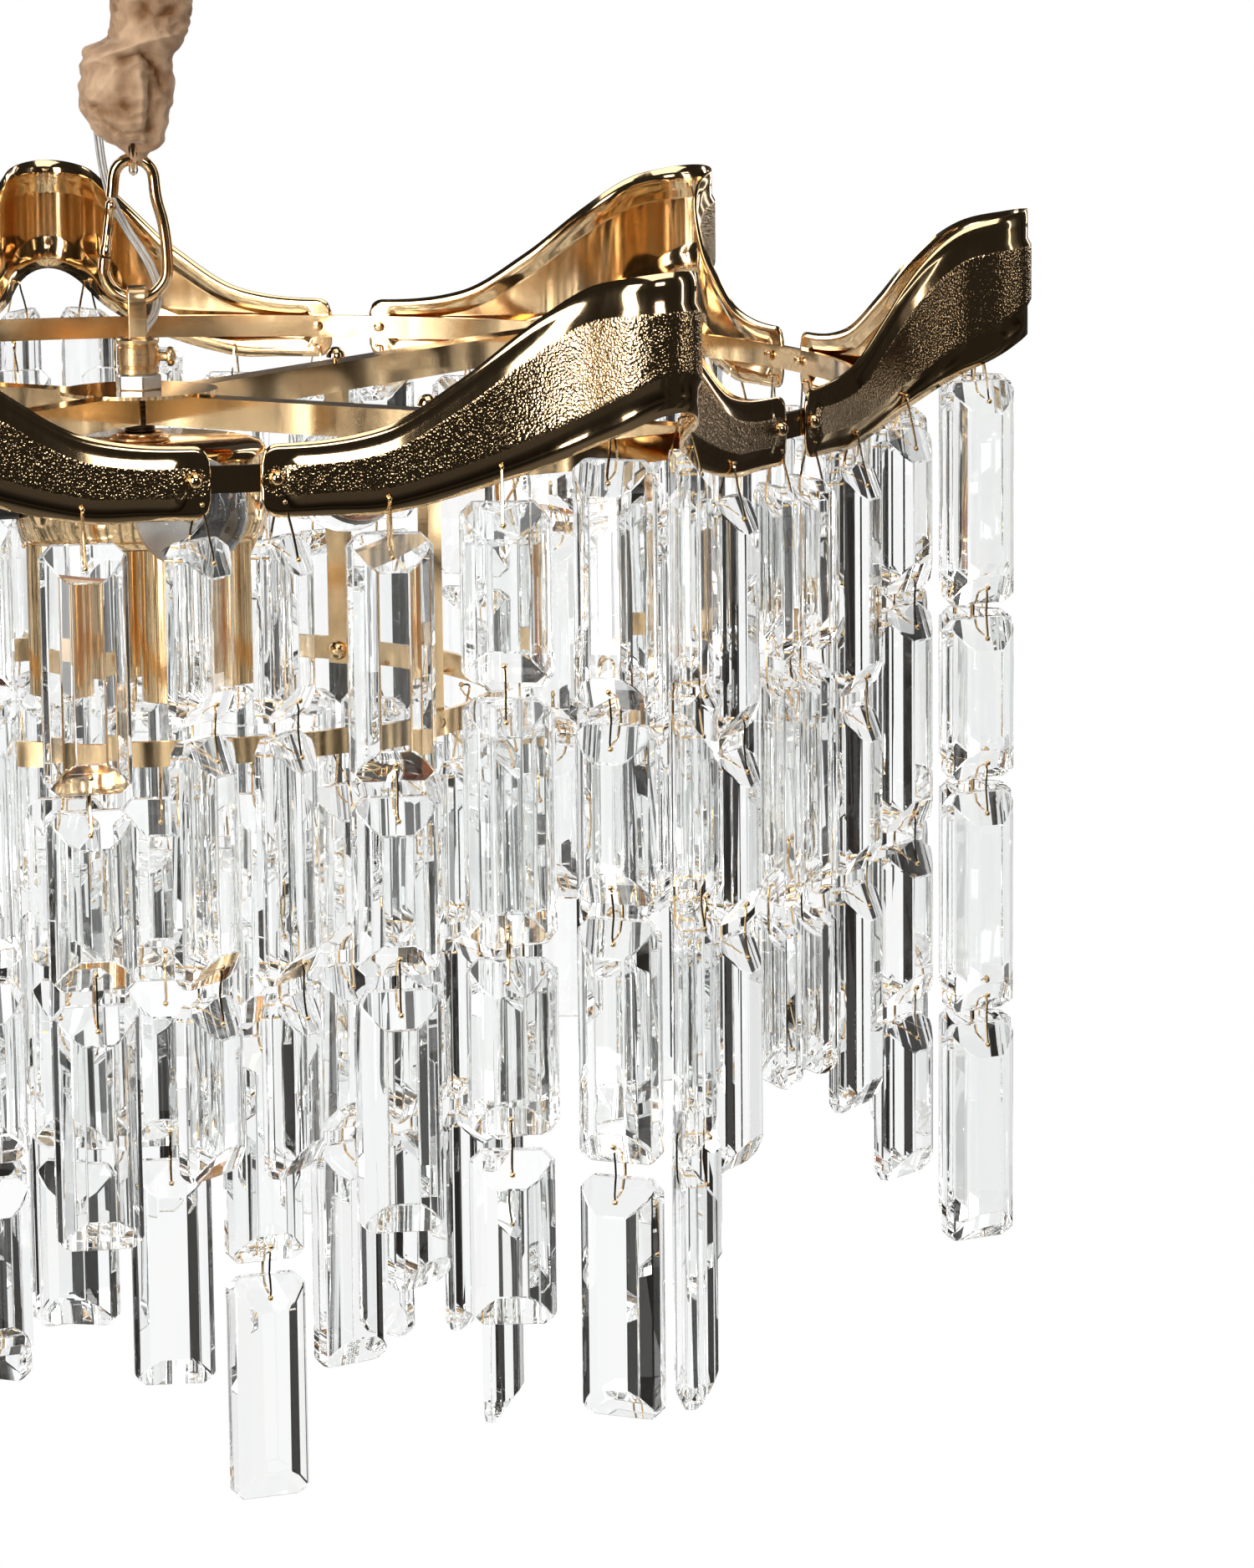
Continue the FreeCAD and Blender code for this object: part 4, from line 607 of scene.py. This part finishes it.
# from the foot's inner edge outwards, up over two grooves and down the bore; heights from the nut
collar_profile = ((0.0052, 0.0001), (0.0062, 0.0001), (0.0068, 0.0006), (0.0068, 0.0022),
                  (0.0064, 0.0025), (0.0064, 0.0030), (0.0070, 0.0034), (0.0070, 0.0092),
                  (0.0065, 0.0096), (0.0065, 0.0101), (0.0070, 0.0105), (0.0071, 0.0117),
                  (0.0066, 0.0123), (0.0052, 0.0123), (0.0050, 0.0117), (0.0050, 0.0006),
                  (0.0052, 0.0001))
collar = spun("stem_collar", lifted(collar_profile, nut_top), 48, brass, "frame")
bm = bmesh.new()
legs = [bm.verts.new((x, -0.0050, collar_top - 0.0010)) for x in (-0.0031, 0.0031)]
strip = [bm.edges.new(legs)]
for y, z in ((-0.0051, 0.0128), (-0.0048, 0.0150), (-0.0036, 0.0166), (-0.0016, 0.0172),
             (0.0016, 0.0172), (0.0036, 0.0166), (0.0048, 0.0150), (0.0051, 0.0128),
             (0.0050, -0.0010)):
    grown = bmesh.ops.extrude_edge_only(bm, edges=strip)["geom"]
    strip = [item for item in grown if isinstance(item, bmesh.types.BMEdge)]
    for v in [item for item in grown if isinstance(item, bmesh.types.BMVert)]:
        v.co.y = y
        v.co.z = collar_top + z
bmesh.ops.recalc_face_normals(bm, faces=bm.faces)
bail = settled("stem_bail", bm, [brass], "frame", 50)
bail_strip = bail.modifiers.new("strip", "SOLIDIFY")
bail_strip.thickness = 0.0018
bail_strip.offset = -1.0
soft_edges(bail, 0.0006, 3, 30)
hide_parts("suspension_eye")

# the steel nut above the hub and the one below the lamp tray, 14 mm across flats
nut_corner = 0.00808
nut_turn = Matrix.Rotation(math.radians(10), 4, "Z")
bm = bmesh.new()
for low, high in ((hoop_level + 0.0019, nut_top), (hoop_level - 0.0211, hoop_level - 0.0163)):
    middle = Matrix.Translation((0, 0, (low + high) / 2))
    bmesh.ops.create_cone(bm, cap_ends=False, segments=6, radius1=nut_corner, radius2=nut_corner,
                          depth=high - low, matrix=middle @ nut_turn)
    for level in (high, low):
        rim = [e for e in bm.edges if all(abs(v.co.z - level) < 1e-6 for v in e.verts)]
        capped = bmesh.ops.contextual_create(bm, geom=rim)["faces"]
        bmesh.ops.inset_individual(bm, faces=capped, thickness=0.0009, depth=0.0004)
bmesh.ops.recalc_face_normals(bm, faces=bm.faces)
nuts = settled("hex_nuts", bm, [brushed], "frame", 30)
soft_edges(nuts, 0.0005, 3, 30)
washer_profile = ((0.0052, -0.0149), (0.0097, -0.0149), (0.0100, -0.0146), (0.0100, -0.0139),
                  (0.0097, -0.0136), (0.0078, -0.0135), (0.0076, -0.0132), (0.0076, -0.0125),
                  (0.0073, -0.0123), (0.0052, -0.0123), (0.0052, -0.0149))
spun("tray_washer", lifted(washer_profile, hoop_level), 40, brass, "frame")
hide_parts("stem_nuts")
thumb_spot = Matrix.Translation((0, 0, hoop_level + 0.0125)) @ Matrix.Rotation(math.pi / 2, 4, "Y")
thumb = spun("thumb_knob", ((0.0, 0.0055), (0.0014, 0.0055), (0.0015, 0.0060), (0.0015, 0.0088),
                            (0.0018, 0.0094), (0.0030, 0.0097), (0.0033, 0.0102), (0.0033, 0.0108),
                            (0.0030, 0.0116), (0.0022, 0.0122), (0.0011, 0.0125), (0.0, 0.0126)), 28,
             brass, "thumb_screw", [thumb_spot])
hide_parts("thumb_screw")

# ---------------------------------------------------------------- hub, arms, hoops, straps
# Pressed gold steel: channel arms cross on the hub disc and are fixed inside the main hoop; straps
# hang the lower ring from dome screws.
for name in ("hub_disc", "cross_arms", "main_hoop", "drop_straps", "lower_ring"):
    finish(name, gold)
dome = ((0.0, 0.0037), (0.0009, 0.0036), (0.0019, 0.0031), (0.0028, 0.0021), (0.0032, 0.0010),
        (0.0033, 0.0002), (0.0031, 0.0), (0.0012, 0.0), (0.0012, -0.0060), (0.0, -0.0060))
arm_count = 4
first_strap = 53.5
# one dome lies on each arm, and one faces inwards at the foot of each strap
on_arm = Matrix.Translation((0.1148, 0, hoop_level + 0.00195))
on_strap = Matrix.Translation((0.1127, 0, hoop_level - 0.101)) @ Matrix.Rotation(-math.pi / 2, 4, "Y")
spots = []
for index in range(arm_count):
    turned = Matrix.Rotation(math.radians(first_strap + 360 * index / arm_count), 4, "Z")
    spots += [turned @ on_arm, turned @ on_strap]
domes = spun("dome_screws", dome, 24, gold, "frame", spots)
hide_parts("strap_screws")

# ---------------------------------------------------------------- leaf plates
# Seven stamped brass-plated leaves, bent to a wave in plan: smooth rims, a pressed step, and a
# raised panel beaten all over.  Each end is riveted to the hoop.
beaten = bpy.data.node_groups.new("beaten_relief", "ShaderNodeTree")
beaten.interface.new_socket("Normal", in_out="OUTPUT", socket_type="NodeSocketVector")
beaten.interface.new_socket("Grain", in_out="OUTPUT", socket_type="NodeSocketFloat")
out = node(beaten, "NodeGroupOutput")
space = node(beaten, "ShaderNodeTexCoord")
dents = node(beaten, "ShaderNodeTexVoronoi", Scale=1250.0)
beaten.links.new(space.outputs["Object"], dents.inputs["Vector"])
grit = clouds(beaten, 2600.0, 1.0, 0.5)
both = node(beaten, "ShaderNodeMath", operation="MULTIPLY_ADD")
beaten.links.new(grit.outputs["Fac"], both.inputs[0])
both.inputs[1].default_value = 0.35
beaten.links.new(dents.outputs["Distance"], both.inputs[2])
relief = node(beaten, "ShaderNodeBump", Strength=1.0, Distance=0.00017)
beaten.links.new(both.outputs[0], relief.inputs["Height"])
beaten.links.new(relief.outputs["Normal"], out.inputs["Normal"])
beaten.links.new(dents.outputs["Distance"], out.inputs["Grain"])

hammered, tree = bare_material("hammered_gold")
surface = shader(tree, Metallic=1.0)
from_group(tree, gold_tones, surface, (("Colour", "Base Color"),))
marks = from_group(tree, beaten, surface, (("Normal", "Normal"),))
tree.links.new(between(tree, marks.outputs["Grain"], 0.05, 0.14), surface.inputs["Roughness"])

leaf_count = 7
first_peak = -57.6
# all in mm: half of the plan line from its end to the peak, and the heights of both edges over the
# share of the way from the end to the peak
plan = ((219.6, 97.5), (226.9, 80.8), (236.2, 62.0), (245.5, 45.0), (252.3, 34.2), (262.0, 23.8),
        (271.0, 17.6), (279.5, 14.3), (285.5, 11.6), (290.2, 7.4), (292.4, 3.4), (293.0, 0.0))
upper_edge = ((0.0, 10.0), (0.283, 13.8), (0.472, 27.6), (0.646, 44.3), (0.772, 53.9), (0.89, 57.4),
              (1.0, 59.0))
lower_edge = ((0.0, -11.5), (0.15, -11.6), (0.30, -11.5), (0.567, -3.0), (0.835, 10.0), (1.0, 18.0))


def through(pairs, at):
    """Smooth curve through given pairs, flat at both ends."""
    k = max(i for i in range(len(pairs) - 1) if at >= pairs[i][0] - 1e-9 or i == 0)
    (x1, y1), (x2, y2) = pairs[k], pairs[k + 1]
    step = x2 - x1
    slope1 = 0.0 if k == 0 else (y2 - pairs[k - 1][1]) / (x2 - pairs[k - 1][0])
    slope2 = 0.0 if k == len(pairs) - 2 else (pairs[k + 2][1] - y1) / (pairs[k + 2][0] - x1)
    part = (at - x1) / step
    return ((2 * part ** 3 - 3 * part ** 2 + 1) * y1 + (part ** 3 - 2 * part ** 2 + part) * step * slope1
            + (3 * part ** 2 - 2 * part ** 3) * y2 + (part ** 3 - part ** 2) * step * slope2)


plan_points = [Vector((x, -y)) for x, y in plan]
plan_points += [Vector((p.x, -p.y)) for p in reversed(plan_points[:-1])]
plan_line = [Vector(smooth_row([tuple(p) for p in plan_points], step / 400)) for step in range(401)]
reach = [0.0]
for one, two in zip(plan_line, plan_line[1:]):
    reach.append(reach[-1] + (two - one).length)


def on_plan(share):
    """Point on the leaf's inner face in plan and the way out of it, at a share of its length."""
    goal = share * reach[-1]
    k = max(i for i in range(len(reach) - 1) if reach[i] <= goal + 1e-9)
    part = (goal - reach[k]) / (reach[k + 1] - reach[k])
    point = plan_line[k].lerp(plan_line[k + 1], part)
    low = plan_line[max(0, k - 3)]
    high = plan_line[min(len(plan_line) - 1, k + 4)]
    along = (high - low).normalized()
    return point, Vector((along.y, -along.x))


along_count = 150
rows = 26
corner_radius = 5.0
step_width = 2.2
panel_high = 1.2
panel_slope = 2.1
for index in range(leaf_count):
    bm = bmesh.new()
    bmesh.ops.create_grid(bm, x_segments=along_count, y_segments=rows, size=0.5)
    spin = Matrix.Rotation(math.radians(first_peak + 360 * index / leaf_count), 3, "Z")
    half = reach[-1] / 2
    panel_faces = []
    for face in bm.faces:
        middle = face.calc_center_median()
        if 3 <= round((middle.y + 0.5) * rows - 0.5) <= rows - 4:
            panel_faces.append(face)
    for v in bm.verts:
        # columns crowd towards the ends, so that the rounded corners and the panel's ends are smooth
        share = v.co.x + 0.5
        share -= 0.055 * math.sin(math.tau * share)
        row = round((v.co.y + 0.5) * rows)
        distance = min(share, 1 - share) * reach[-1]
        near = min(1.0, distance / half)
        low = through(lower_edge, near)
        high = through(upper_edge, near)
        if distance < corner_radius:
            across = corner_radius - distance
            inset = corner_radius - math.sqrt(max(0.0, corner_radius ** 2 - across ** 2))
            low += inset
            high -= inset
        # a smooth rim, wider at the peak, two rows high; then the step, one row high
        rim = 3.8 + 5.7 * near
        if row < 2:
            height = low + rim * row / 2
        elif row > rows - 2:
            height = high - rim * (rows - row) / 2
        elif row == 2:
            height = low + rim
        elif row == rows - 2:
            height = high - rim
        else:
            panel = high - low - 2 * rim - 2 * step_width
            height = low + rim + step_width + panel * (row - 3) / (rows - 6)
        # the raised panel has rounded ends
        span = (high - low) / 2 - rim
        centre = (high + low) / 2
        start = 6.0 + span
        if distance < start:
            gap = span - math.hypot(start - distance, height - centre)
        else:
            gap = span - abs(height - centre)
        raised = panel_high * max(0.0, min(1.0, gap / panel_slope))
        raised = raised ** 2 * (3 * panel_high - 2 * raised) / panel_high ** 2
        point, way = on_plan(share)
        place = point + way * (0.5 + raised)
        v.co = spin @ (Vector((place.x, place.y, height)) / 1000)
        v.co.z += hoop_level
    for face in panel_faces:
        face.material_index = 1
    bmesh.ops.recalc_face_normals(bm, faces=bm.faces)
    leaf = settled(f"leaf_{index + 1}", bm, [gold, hammered], "frame", 50)
    sheet = leaf.modifiers.new("sheet", "SOLIDIFY")
    sheet.thickness = 0.001
    sheet.offset = 0.0
    sheet.material_offset = -1
    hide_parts(f"leaf_plate_{index + 1}")

button = ((0.0, 0.0026), (0.0009, 0.0025), (0.0017, 0.0020), (0.0022, 0.0010), (0.0023, 0.0003),
          (0.0021, 0.0), (0.0009, 0.0), (0.0009, -0.0040), (0.0018, -0.0042), (0.0016, -0.0049),
          (0.0, -0.0052))
rivet_share = 4.5 / reach[-1]
spots = []
for index in range(leaf_count):
    for share in (rivet_share, 1 - rivet_share):
        point, way = on_plan(share)
        turned = Matrix.Rotation(math.radians(first_peak + 360 * index / leaf_count), 4, "Z")
        place = point + way * 1.1
        spots.append(turned @ Matrix.Translation((place.x / 1000, place.y / 1000, hoop_level))
                     @ Vector((way.x, way.y, 0)).to_track_quat("Z", "Y").to_matrix().to_4x4())
rivets = spun("leaf_buttons", button, 20, gold, "frame", spots)
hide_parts("leaf_rivets")

# ---------------------------------------------------------------- lamps
# A spun gold tray carries four open tubes below and four sockets on its wall.  Clear lamps with a
# glowing-wire body stand in black sockets: candles in the tubes, globes on the wall.
black = patterned("socket_black", (0.012, 0.012, 0.012, 1), (0.03, 0.03, 0.03, 1), (0.35, 0.55),
                  scale=800.0)
bulb_glass = patterned("lamp_glass", (0.97, 0.97, 0.97, 1), (1.0, 1.0, 1.0, 1), scale=30.0,
                       Roughness=0.0, IOR=1.45, Transmission_Weight=1.0)
filament = patterned("lamp_wire", (0.5, 0.38, 0.2, 1), (0.8, 0.66, 0.42, 1), scale=600.0,
                     Metallic=1.0, Roughness=0.4)

tray_high = hoop_level - 0.015
tray_low = tray_high - 0.032
tray_profile = ((0.0052, 0.0), (0.036, -0.0002), (0.0395, -0.0010), (0.0414, -0.0026),
                (0.0420, -0.0048), (0.0420, -0.0220), (0.0418, -0.0260), (0.0412, -0.0295),
                (0.0404, -0.0316), (0.0400, -0.032), (0.0052, -0.032), (0.0052, 0.0))
tray = spun("lamp_tray_shell", lifted(tray_profile, tray_high), 96, gold, "frame")
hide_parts("lamp_tray")

lamps_each = 4
candle_circle = 0.0295
globe_circle = 0.0422
candles = []
globes = []
for index in range(lamps_each):
    angle = math.radians(-72 + 360 * index / lamps_each)
    place = (candle_circle * math.cos(angle), candle_circle * math.sin(angle), tray_low - 0.0012)
    candles.append(Matrix.Translation(place) @ Matrix.Rotation(math.pi, 4, "X"))
    angle = math.radians(-77 + 360 * index / lamps_each)
    place = (globe_circle * math.cos(angle), globe_circle * math.sin(angle), hoop_level - 0.031)
    globes.append(Matrix.Translation(place) @ Matrix.Rotation(angle, 4, "Z")
                  @ Matrix.Rotation(math.pi / 2, 4, "Y"))

tubes = spun("lamp_tube_shells", ((0.0030, -0.0011), (0.0098, -0.0011), (0.0104, -0.0006),
                                  (0.0104, 0.0496), (0.0102, 0.0498), (0.0097, 0.0498),
                                  (0.0096, 0.0495), (0.0096, 0.0003), (0.0030, 0.0001),
                                  (0.0030, -0.0011)), 40, gold, "frame", candles)
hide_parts("lamp_tubes")
sockets = spun("lamp_socket_shells", ((0.0, 0.0), (0.0080, 0.0), (0.0084, 0.0004), (0.0084, 0.0085),
                                      (0.0080, 0.0090), (0.0080, 0.0100), (0.0084, 0.0105),
                                      (0.0084, 0.0117), (0.0081, 0.0120), (0.0068, 0.0120),
                                      (0.0066, 0.0118), (0.0066, 0.0014), (0.0, 0.0014)), 32,
               black, "frame", candles + globes)
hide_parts("lamp_sockets")

# outlines of the glasses, from the cap outwards; the globe's is a neck and an arc up to its top
candle_line = ((0.0058, 0.0100), (0.0061, 0.0126), (0.0068, 0.0160), (0.0073, 0.0200),
               (0.0073, 0.0300), (0.0066, 0.0370), (0.0050, 0.0430), (0.0028, 0.0466),
               (0.0010, 0.0477), (0.0, 0.0479))
globe_radius = 0.0183
globe_middle = 0.0278
globe_line = [(0.0058, 0.0100), (0.0062, 0.0128)]
for step in range(11):
    angle = math.radians(-52 + step * 142 / 11)
    globe_line.append((globe_radius * math.cos(angle), globe_middle + globe_radius * math.sin(angle)))
globe_line.append((0.0, globe_middle + globe_radius))

bulbs = spun("candle_glasses", candle_line, 32, bulb_glass, "frame", candles)
spun("globe_glasses", globe_line, 48, bulb_glass, "frame", globes)
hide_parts("lamp_bulbs")
spun("lamp_caps", ((0.0, 0.0016), (0.0057, 0.0016), (0.0059, 0.0030), (0.0062, 0.0040),
                   (0.0059, 0.0050), (0.0062, 0.0060), (0.0059, 0.0070), (0.0062, 0.0080),
                   (0.0061, 0.0124), (0.0, 0.0124)), 24,
     brushed, "frame", candles + globes)
wires = []
for spots, stretch in ((candles, 1.0), (globes, 0.95)):
    for spot in spots:
        loop = ((-0.0018, 0, 0.0124), (-0.0022, 0, 0.022), (-0.0026, 0.0006, 0.034),
                (-0.0008, 0.0012, 0.038), (0.0008, -0.0012, 0.026), (0.0024, 0.0, 0.038),
                (0.0022, 0, 0.022), (0.0018, 0, 0.0124))
        wires.append([spot @ Vector((x, y, z * stretch)) for x, y, z in loop])
bent_rod("lamp_wires", wires, 0.00025, filament, "frame")

# ---------------------------------------------------------------- prisms
# Clear cut-glass prisms: a flat back, a broad front facet between two long bevels, and a sloping
# facet at each end.  Every corner is cut, and a hole near each end takes a wire.
# the faint blue and cream tints along a stretched noise are painted dispersion colour; the glass itself
# is clear
crystal = patterned("cut_glass", (0.955, 0.98, 1.0, 1), (1.0, 0.992, 0.965, 1), scale=170.0,
                    detail=1.0, stretch=(1, 1, 0.14), Roughness=0.0, IOR=1.52, Transmission_Weight=1.0)

prism_width = 0.0258
prism_back = 0.002
prism_front = -0.009
hole_down = 0.006
prism_gap = 0.0045


def prism(length):
    """One prism as a mesh, its top end at the origin, its front towards -Y."""
    bm = bmesh.new()
    bmesh.ops.create_cube(bm, size=1.0)
    bmesh.ops.scale(bm, vec=(prism_width, prism_back - prism_front, length), verts=bm.verts)
    bmesh.ops.translate(bm, vec=(0, (prism_back + prism_front) / 2, -length / 2), verts=bm.verts)
    cuts = []
    for side in (-1, 1):
        # long bevels, steeper and steeper from the front facet to the side
        cuts.append(((side * 0.0046, -0.0090, 0), (side * 1.6, -3.1, 0)))
        cuts.append(((side * 0.0078, -0.0074, 0), (side * 3.2, -3.6, 0)))
        cuts.append(((side * 0.0114, -0.0042, 0), (side * 2.8, -1.6, 0)))
    for top, way in ((0.0, 1), (-length, -1)):
        # sloping end facets
        cuts.append(((0, -0.0012, top), (0, -10.4, way * 7.8)))
        for side in (-1, 1):
            # cut corners
            cuts.append(((side * (prism_width / 2 - 0.0036), 0, top), (side * 1.0, 0, way * 1.0)))
    for place, way in cuts:
        geom = bm.verts[:] + bm.edges[:] + bm.faces[:]
        opened = bmesh.ops.bisect_plane(bm, geom=geom, plane_co=place, clear_outer=True,
                                        plane_no=Vector(way).normalized(), dist=0.000001)
        rim = [e for e in opened["geom_cut"] if isinstance(e, bmesh.types.BMEdge)]
        bmesh.ops.holes_fill(bm, edges=rim)
    bmesh.ops.remove_doubles(bm, verts=bm.verts, dist=0.000005)
    bmesh.ops.dissolve_limit(bm, angle_limit=math.radians(0.5), verts=bm.verts, edges=bm.edges)
    bmesh.ops.recalc_face_normals(bm, faces=bm.faces)
    mesh = bpy.data.meshes.new("prism")
    bm.to_mesh(mesh)
    bm.free()
    return mesh


prism_meshes = {74: prism(0.074), 54: prism(0.054)}


def hanging(name):
    """Where a node's prisms hang: the middle of each top end, the way each faces, its length in mm."""
    bm = bmesh.new()
    bm.from_mesh(cad[name].data)
    bmesh.ops.remove_doubles(bm, verts=bm.verts, dist=0.00002)
    places = []
    seen = set()
    # the prisms are taken in the order of their corners, so that the list is the same every time
    for first in bm.verts:
        if first in seen:
            continue
        seen.add(first)
        island = [first]
        for v in island:
            for link in v.link_edges:
                other = link.other_vert(v)
                if other not in seen:
                    seen.add(other)
                    island.append(other)
        high = max(v.co.z for v in island)
        low = min(v.co.z for v in island)
        end = [v.co for v in island if v.co.z > high - 0.0005]
        top = sum(end, Vector()) / len(end)
        front = [v.co for v in island if high - 0.02 < v.co.z < high - 0.005]
        facing = sum(front, Vector()) / len(front) - top
        facing.z = 0
        places.append((top, facing.normalized(), round((high - low) * 1000)))
    bm.free()
    return places


wire_brass, tree = bare_material("pin_brass")
drawn_wire = shader(tree, Metallic=1.0)
from_group(tree, gold_tones, drawn_wire, (("Colour", "Base Color"), ("Roughness", "Roughness")))

chance = random.Random(7)


def strands(node_name, pin_node, body, rim_out):
    """All prisms of one node, and the ball-headed wires that join them."""
    places = hanging(node_name)
    bm = bmesh.new()
    for top, facing, length in places:
        before = len(bm.verts)
        bm.from_mesh(prism_meshes[length])
        bm.verts.ensure_lookup_table()
        sway = chance.uniform(-1.2, 1.2)
        heading = math.atan2(facing.y, facing.x) + math.pi / 2 + math.radians(sway)
        turn = Matrix.Rotation(heading, 4, "Z")
        bmesh.ops.transform(bm, matrix=Matrix.Translation(top) @ turn, verts=bm.verts[before:])
    made = settled(node_name.replace("crystals", "prisms"), bm, [crystal], body, 5)
    soft_edges(made, 0.00035, 1, 12)
    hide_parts(node_name)

    lines = []
    bm = bmesh.new()
    for top, facing, length in places:
        # the prism that this one hangs from, when it is not the first of its strand
        above = [place for place in places
                 if abs(place[0].z - place[2] / 1000 - prism_gap - top.z) < 0.0005
                 and (Vector(place[0].xy) - Vector(top.xy)).length < 0.0005]
        # the wire goes through this prism's hole and up to the hole above it, clear of the glass
        low = top - Vector((0, 0, hole_down))
        rise = Vector((0, 0, 2 * hole_down + prism_gap))
        front = facing * 0.0064
        back = -facing * 0.0026
        side = facing.cross(Vector((0, 0, 1))) * chance.uniform(-0.0007, 0.0007)
        head = low + front + side - rise * 0.03
        if above:
            line = [head, low + front * 0.98 + rise * 0.08, low + front * 0.8 + rise * 0.5 + side,
                    low + front * 0.98 + rise * 0.94, low + front * 0.6 + rise,
                    low + back * 0.7 + rise, low + back + rise * 0.92, low + back + rise * 0.1,
                    low + back * 0.7, low + front * 0.5]
            top_head = low + rise + front
        else:
            out = facing * rim_out
            line = [head, low + front * 1.02 + rise * 0.07, low + front * 0.75 + rise * 0.45 + side,
                    low + out * 1.15 + rise * 0.88, low + out + rise, low + rise,
                    low + rise * 0.9 - side, low + back * 0.9 + rise * 0.4,
                    low + back + rise * 0.08, low + back * 0.7, low + front * 0.5]
            top_head = low + rise + out
        lines.append(line)
        for place in (head, top_head):
            bmesh.ops.create_icosphere(bm, subdivisions=1, radius=0.0010,
                                       matrix=Matrix.Translation(place))
    wires = bent_rod(pin_node + "_wires", lines, 0.0004, wire_brass, body,
                     rounds=2, sides=0)
    settled(pin_node + "_balls", bm, [wire_brass], body, 180)
    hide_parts(pin_node)


for index in range(1, 8):
    strands(f"crystals_{index}", f"wire_pins_{index}", f"curtain_{index}", 0.0027)
strands("inner_crystals", "inner_pins", "frame", -0.003)
strands("ring_crystals", "ring_pins", "frame", -0.003)
